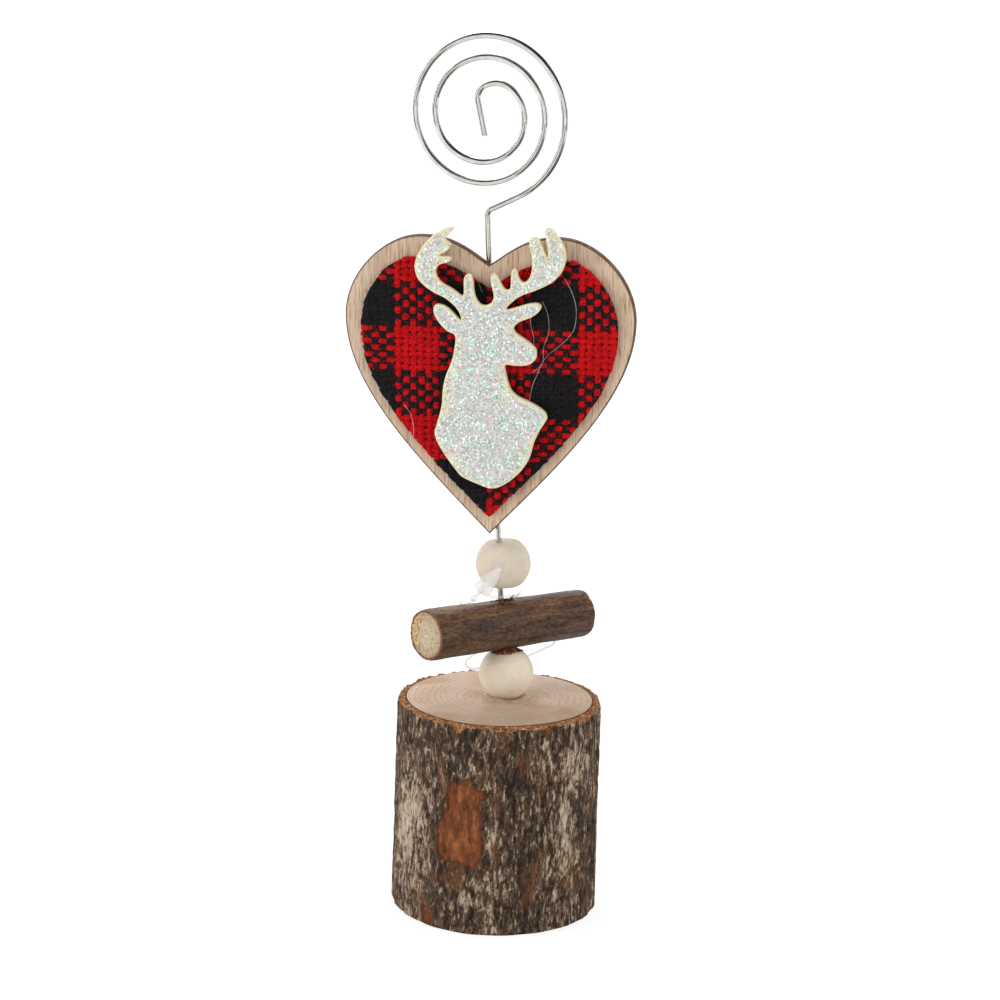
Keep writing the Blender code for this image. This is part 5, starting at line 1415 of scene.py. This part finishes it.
# Studio: a white sweep under soft boxes, with the camera a little to the right of the heart and above it.
# Dark cards out of the picture give the plated wire its black lines, as in the photograph.
FLOOR_RADIUS = 9.0
LAMP_TARGET = Vector((0, 0, 0.11))
LAMPS = (
    ("key_box", (-0.85, -0.50, 0.42), 0.6, 4.2), ("fill_box", (0.85, -0.35, 0.32), 0.5, 3.2),
    ("top_box", (0.05, 0.05, 1.0), 0.7, 2.6), ("rear_box", (-0.3, 0.8, 0.6), 0.5, 2.6),
    ("low_box", (-0.60, -0.40, 0.09), 0.25, 1.0),
)
CARD_TARGET = Vector((0, 0, 0.2))
CARD_LIFT = 0.003


def seen_rays(tree):
    """One for rays that the camera sends, also by way of mirrors and clear pieces, and otherwise zero."""
    rays = add_node(tree, "LightPath")
    onward = add_node(tree, "Math", {"operation": "ADD"},
                      {0: rays["Is Glossy Ray"], 1: rays["Is Transmission Ray"]})[0]
    return add_node(tree, "Math", {"operation": "ADD", "use_clamp": True}, {0: rays["Is Camera Ray"], 1: onward})[0]


# White paper: nearly pure white to the camera, with a faint shadow round the log's foot, and dull to the light
floor_finish, tree, shader = new_finish("white_sweep")
tree.nodes.remove(shader)
seen = seen_rays(tree)
paper = add_node(tree, "BsdfDiffuse", {}, {"Color": (0.8, 0.8, 0.8, 1)})[0]
pale = add_node(tree, "BsdfDiffuse", {}, {"Color": (0.22, 0.22, 0.22, 1)})[0]
reach = add_node(tree, "VectorMath", {"operation": "LENGTH"}, {0: add_node(tree, "TexCoord")["Object"]})["Value"]
far = add_node(tree, "MapRange", {}, {"Value": reach, "From Min": 0.06, "From Max": 0.40})[0]
shine = add_node(tree, "MapRange", {}, {"Value": far, "To Min": 0.82, "To Max": 1.0})[0]
glow = add_node(tree, "Emission", {}, {"Color": (1, 1, 1, 1), "Strength": shine})[0]
lit = add_node(tree, "AddShader", {}, {0: pale, 1: glow})[0]
sweep = add_node(tree, "MixShader", {}, {0: seen, 1: paper, 2: lit})[0]
tree.links.new(sweep, tree.nodes["Material Output"].inputs["Surface"])
clear_selection()
bpy.ops.mesh.primitive_circle_add(vertices=96, radius=FLOOR_RADIUS, fill_type="NGON", location=(0, 0, -0.0001))
floor = bpy.context.object
floor.name = "floor"
floor.data.materials.append(floor_finish)
world = bpy.data.worlds.new("white_studio")
bpy.context.scene.world = world
world.use_nodes = True
tree = world.node_tree
level = add_node(tree, "MapRange", {}, {"Value": seen_rays(tree), "To Min": 0.66, "To Max": 1.0})[0]
tree.links.new(level, tree.nodes["Background"].inputs["Strength"])
tree.nodes["Background"].inputs["Color"].default_value = (1, 1, 1, 1)
for name, at, wide, power in LAMPS:
    lamp = bpy.data.lights.new(name, "AREA")
    lamp.shape = "SQUARE"
    lamp.size = wide
    lamp.energy = power
    holder = new_piece(name, lamp)
    holder.location = at
    holder.visible_glossy = name in ("key_box", "rear_box")
    holder.rotation_euler = (LAMP_TARGET - Vector(at)).to_track_quat("-Z", "Y").to_euler()


def cut_card(name, code, turn, rise, away, wide, high, ring=False):
    """A felt card, or a ring of it, that faces the spiral, or lies on the floor if its rise is below zero."""
    finish, tree, shader = new_finish(name)
    felt = add_node(tree, "TexNoise", {}, {"Scale": 40.0})["Fac"]
    dyed = add_node(tree, "ValToRGB", {"stops": ((0.2, "#000000"), (0.5, code))}, {"Fac": felt})["Color"]
    plug(tree, shader, {"Base Color": dyed, "Roughness": 1.0, "Specular IOR Level": 0.0})
    turn, rise = math.radians(turn), math.radians(rise)
    way = Vector((math.sin(turn) * math.cos(rise), -math.cos(turn) * math.cos(rise), math.sin(rise)))
    clear_selection()
    if ring:
        bpy.ops.mesh.primitive_cylinder_add(vertices=96, radius=wide / 2, depth=high, end_fill_type="NOTHING")
    else:
        bpy.ops.mesh.primitive_plane_add(size=1.0)
        bpy.context.object.scale = (wide, high, 1)
    card = bpy.context.object
    card.name = name
    if rise < 0:
        card.location = (math.sin(turn) * away, -math.cos(turn) * away, CARD_LIFT)
        card.rotation_euler = (0, 0, turn)
    else:
        card.location = CARD_TARGET + way * away
        card.rotation_euler = (-way).to_track_quat("Z", "Y").to_euler()
    card.visible_camera = card.visible_diffuse = card.visible_shadow = card.visible_transmission = False
    card.data.materials.append(finish)


cut_card("card_above", "#4a4a4a", 180, 70, 1.0, 1.5, 1.7)
cut_card("card_front_right", "#4a4a4a", 28, 40, 1.0, 1.0, 0.72)
cut_card("card_right", "#4a4a4a", 78, 40, 1.0, 1.0, 0.74)
cut_card("card_floor_right", "#606060", 58, -35, 0.27, 0.50, 0.36)
cut_card("card_floor_front", "#b4b4b4", 18, -15, 0.80, 0.60, 1.15)
cut_card("ring_flag", "#2e2e2e", 9.5, 7, 0.42, 1.6, 0.50, ring=True)

# The camera stands and looks as it did for the photograph, as far as the log's two rims tell
CAMERA_BACK = 0.740
CAMERA_HEIGHT = 0.28603
CAMERA_SIDE = -0.00126
CAMERA_TURN = math.radians(9.5)
CAMERA_PITCH = math.radians(13.598)
CAMERA_ROLL = math.radians(1.684)
CAMERA_LENS = 108.54
back = Vector((math.sin(CAMERA_TURN), -math.cos(CAMERA_TURN), 0))
right = Vector((math.cos(CAMERA_TURN), math.sin(CAMERA_TURN), 0))
ahead = -back * math.cos(CAMERA_PITCH) - Vector((0, 0, math.sin(CAMERA_PITCH)))
level_up = right.cross(ahead)
across = right * math.cos(CAMERA_ROLL) + level_up * math.sin(CAMERA_ROLL)
above = level_up * math.cos(CAMERA_ROLL) - right * math.sin(CAMERA_ROLL)
lens = bpy.data.cameras.new("camera")
lens.sensor_width = 36.0
lens.lens = CAMERA_LENS
lens.clip_start = 0.01
camera = new_piece("camera", lens)
camera_at = back * CAMERA_BACK + right * CAMERA_SIDE + Vector((0, 0, CAMERA_HEIGHT))
camera.matrix_world = Matrix.Translation(camera_at) @ Matrix((across, above, -ahead)).transposed().to_4x4()
bpy.context.scene.camera = camera
bpy.context.scene.view_settings.view_transform = "Standard"
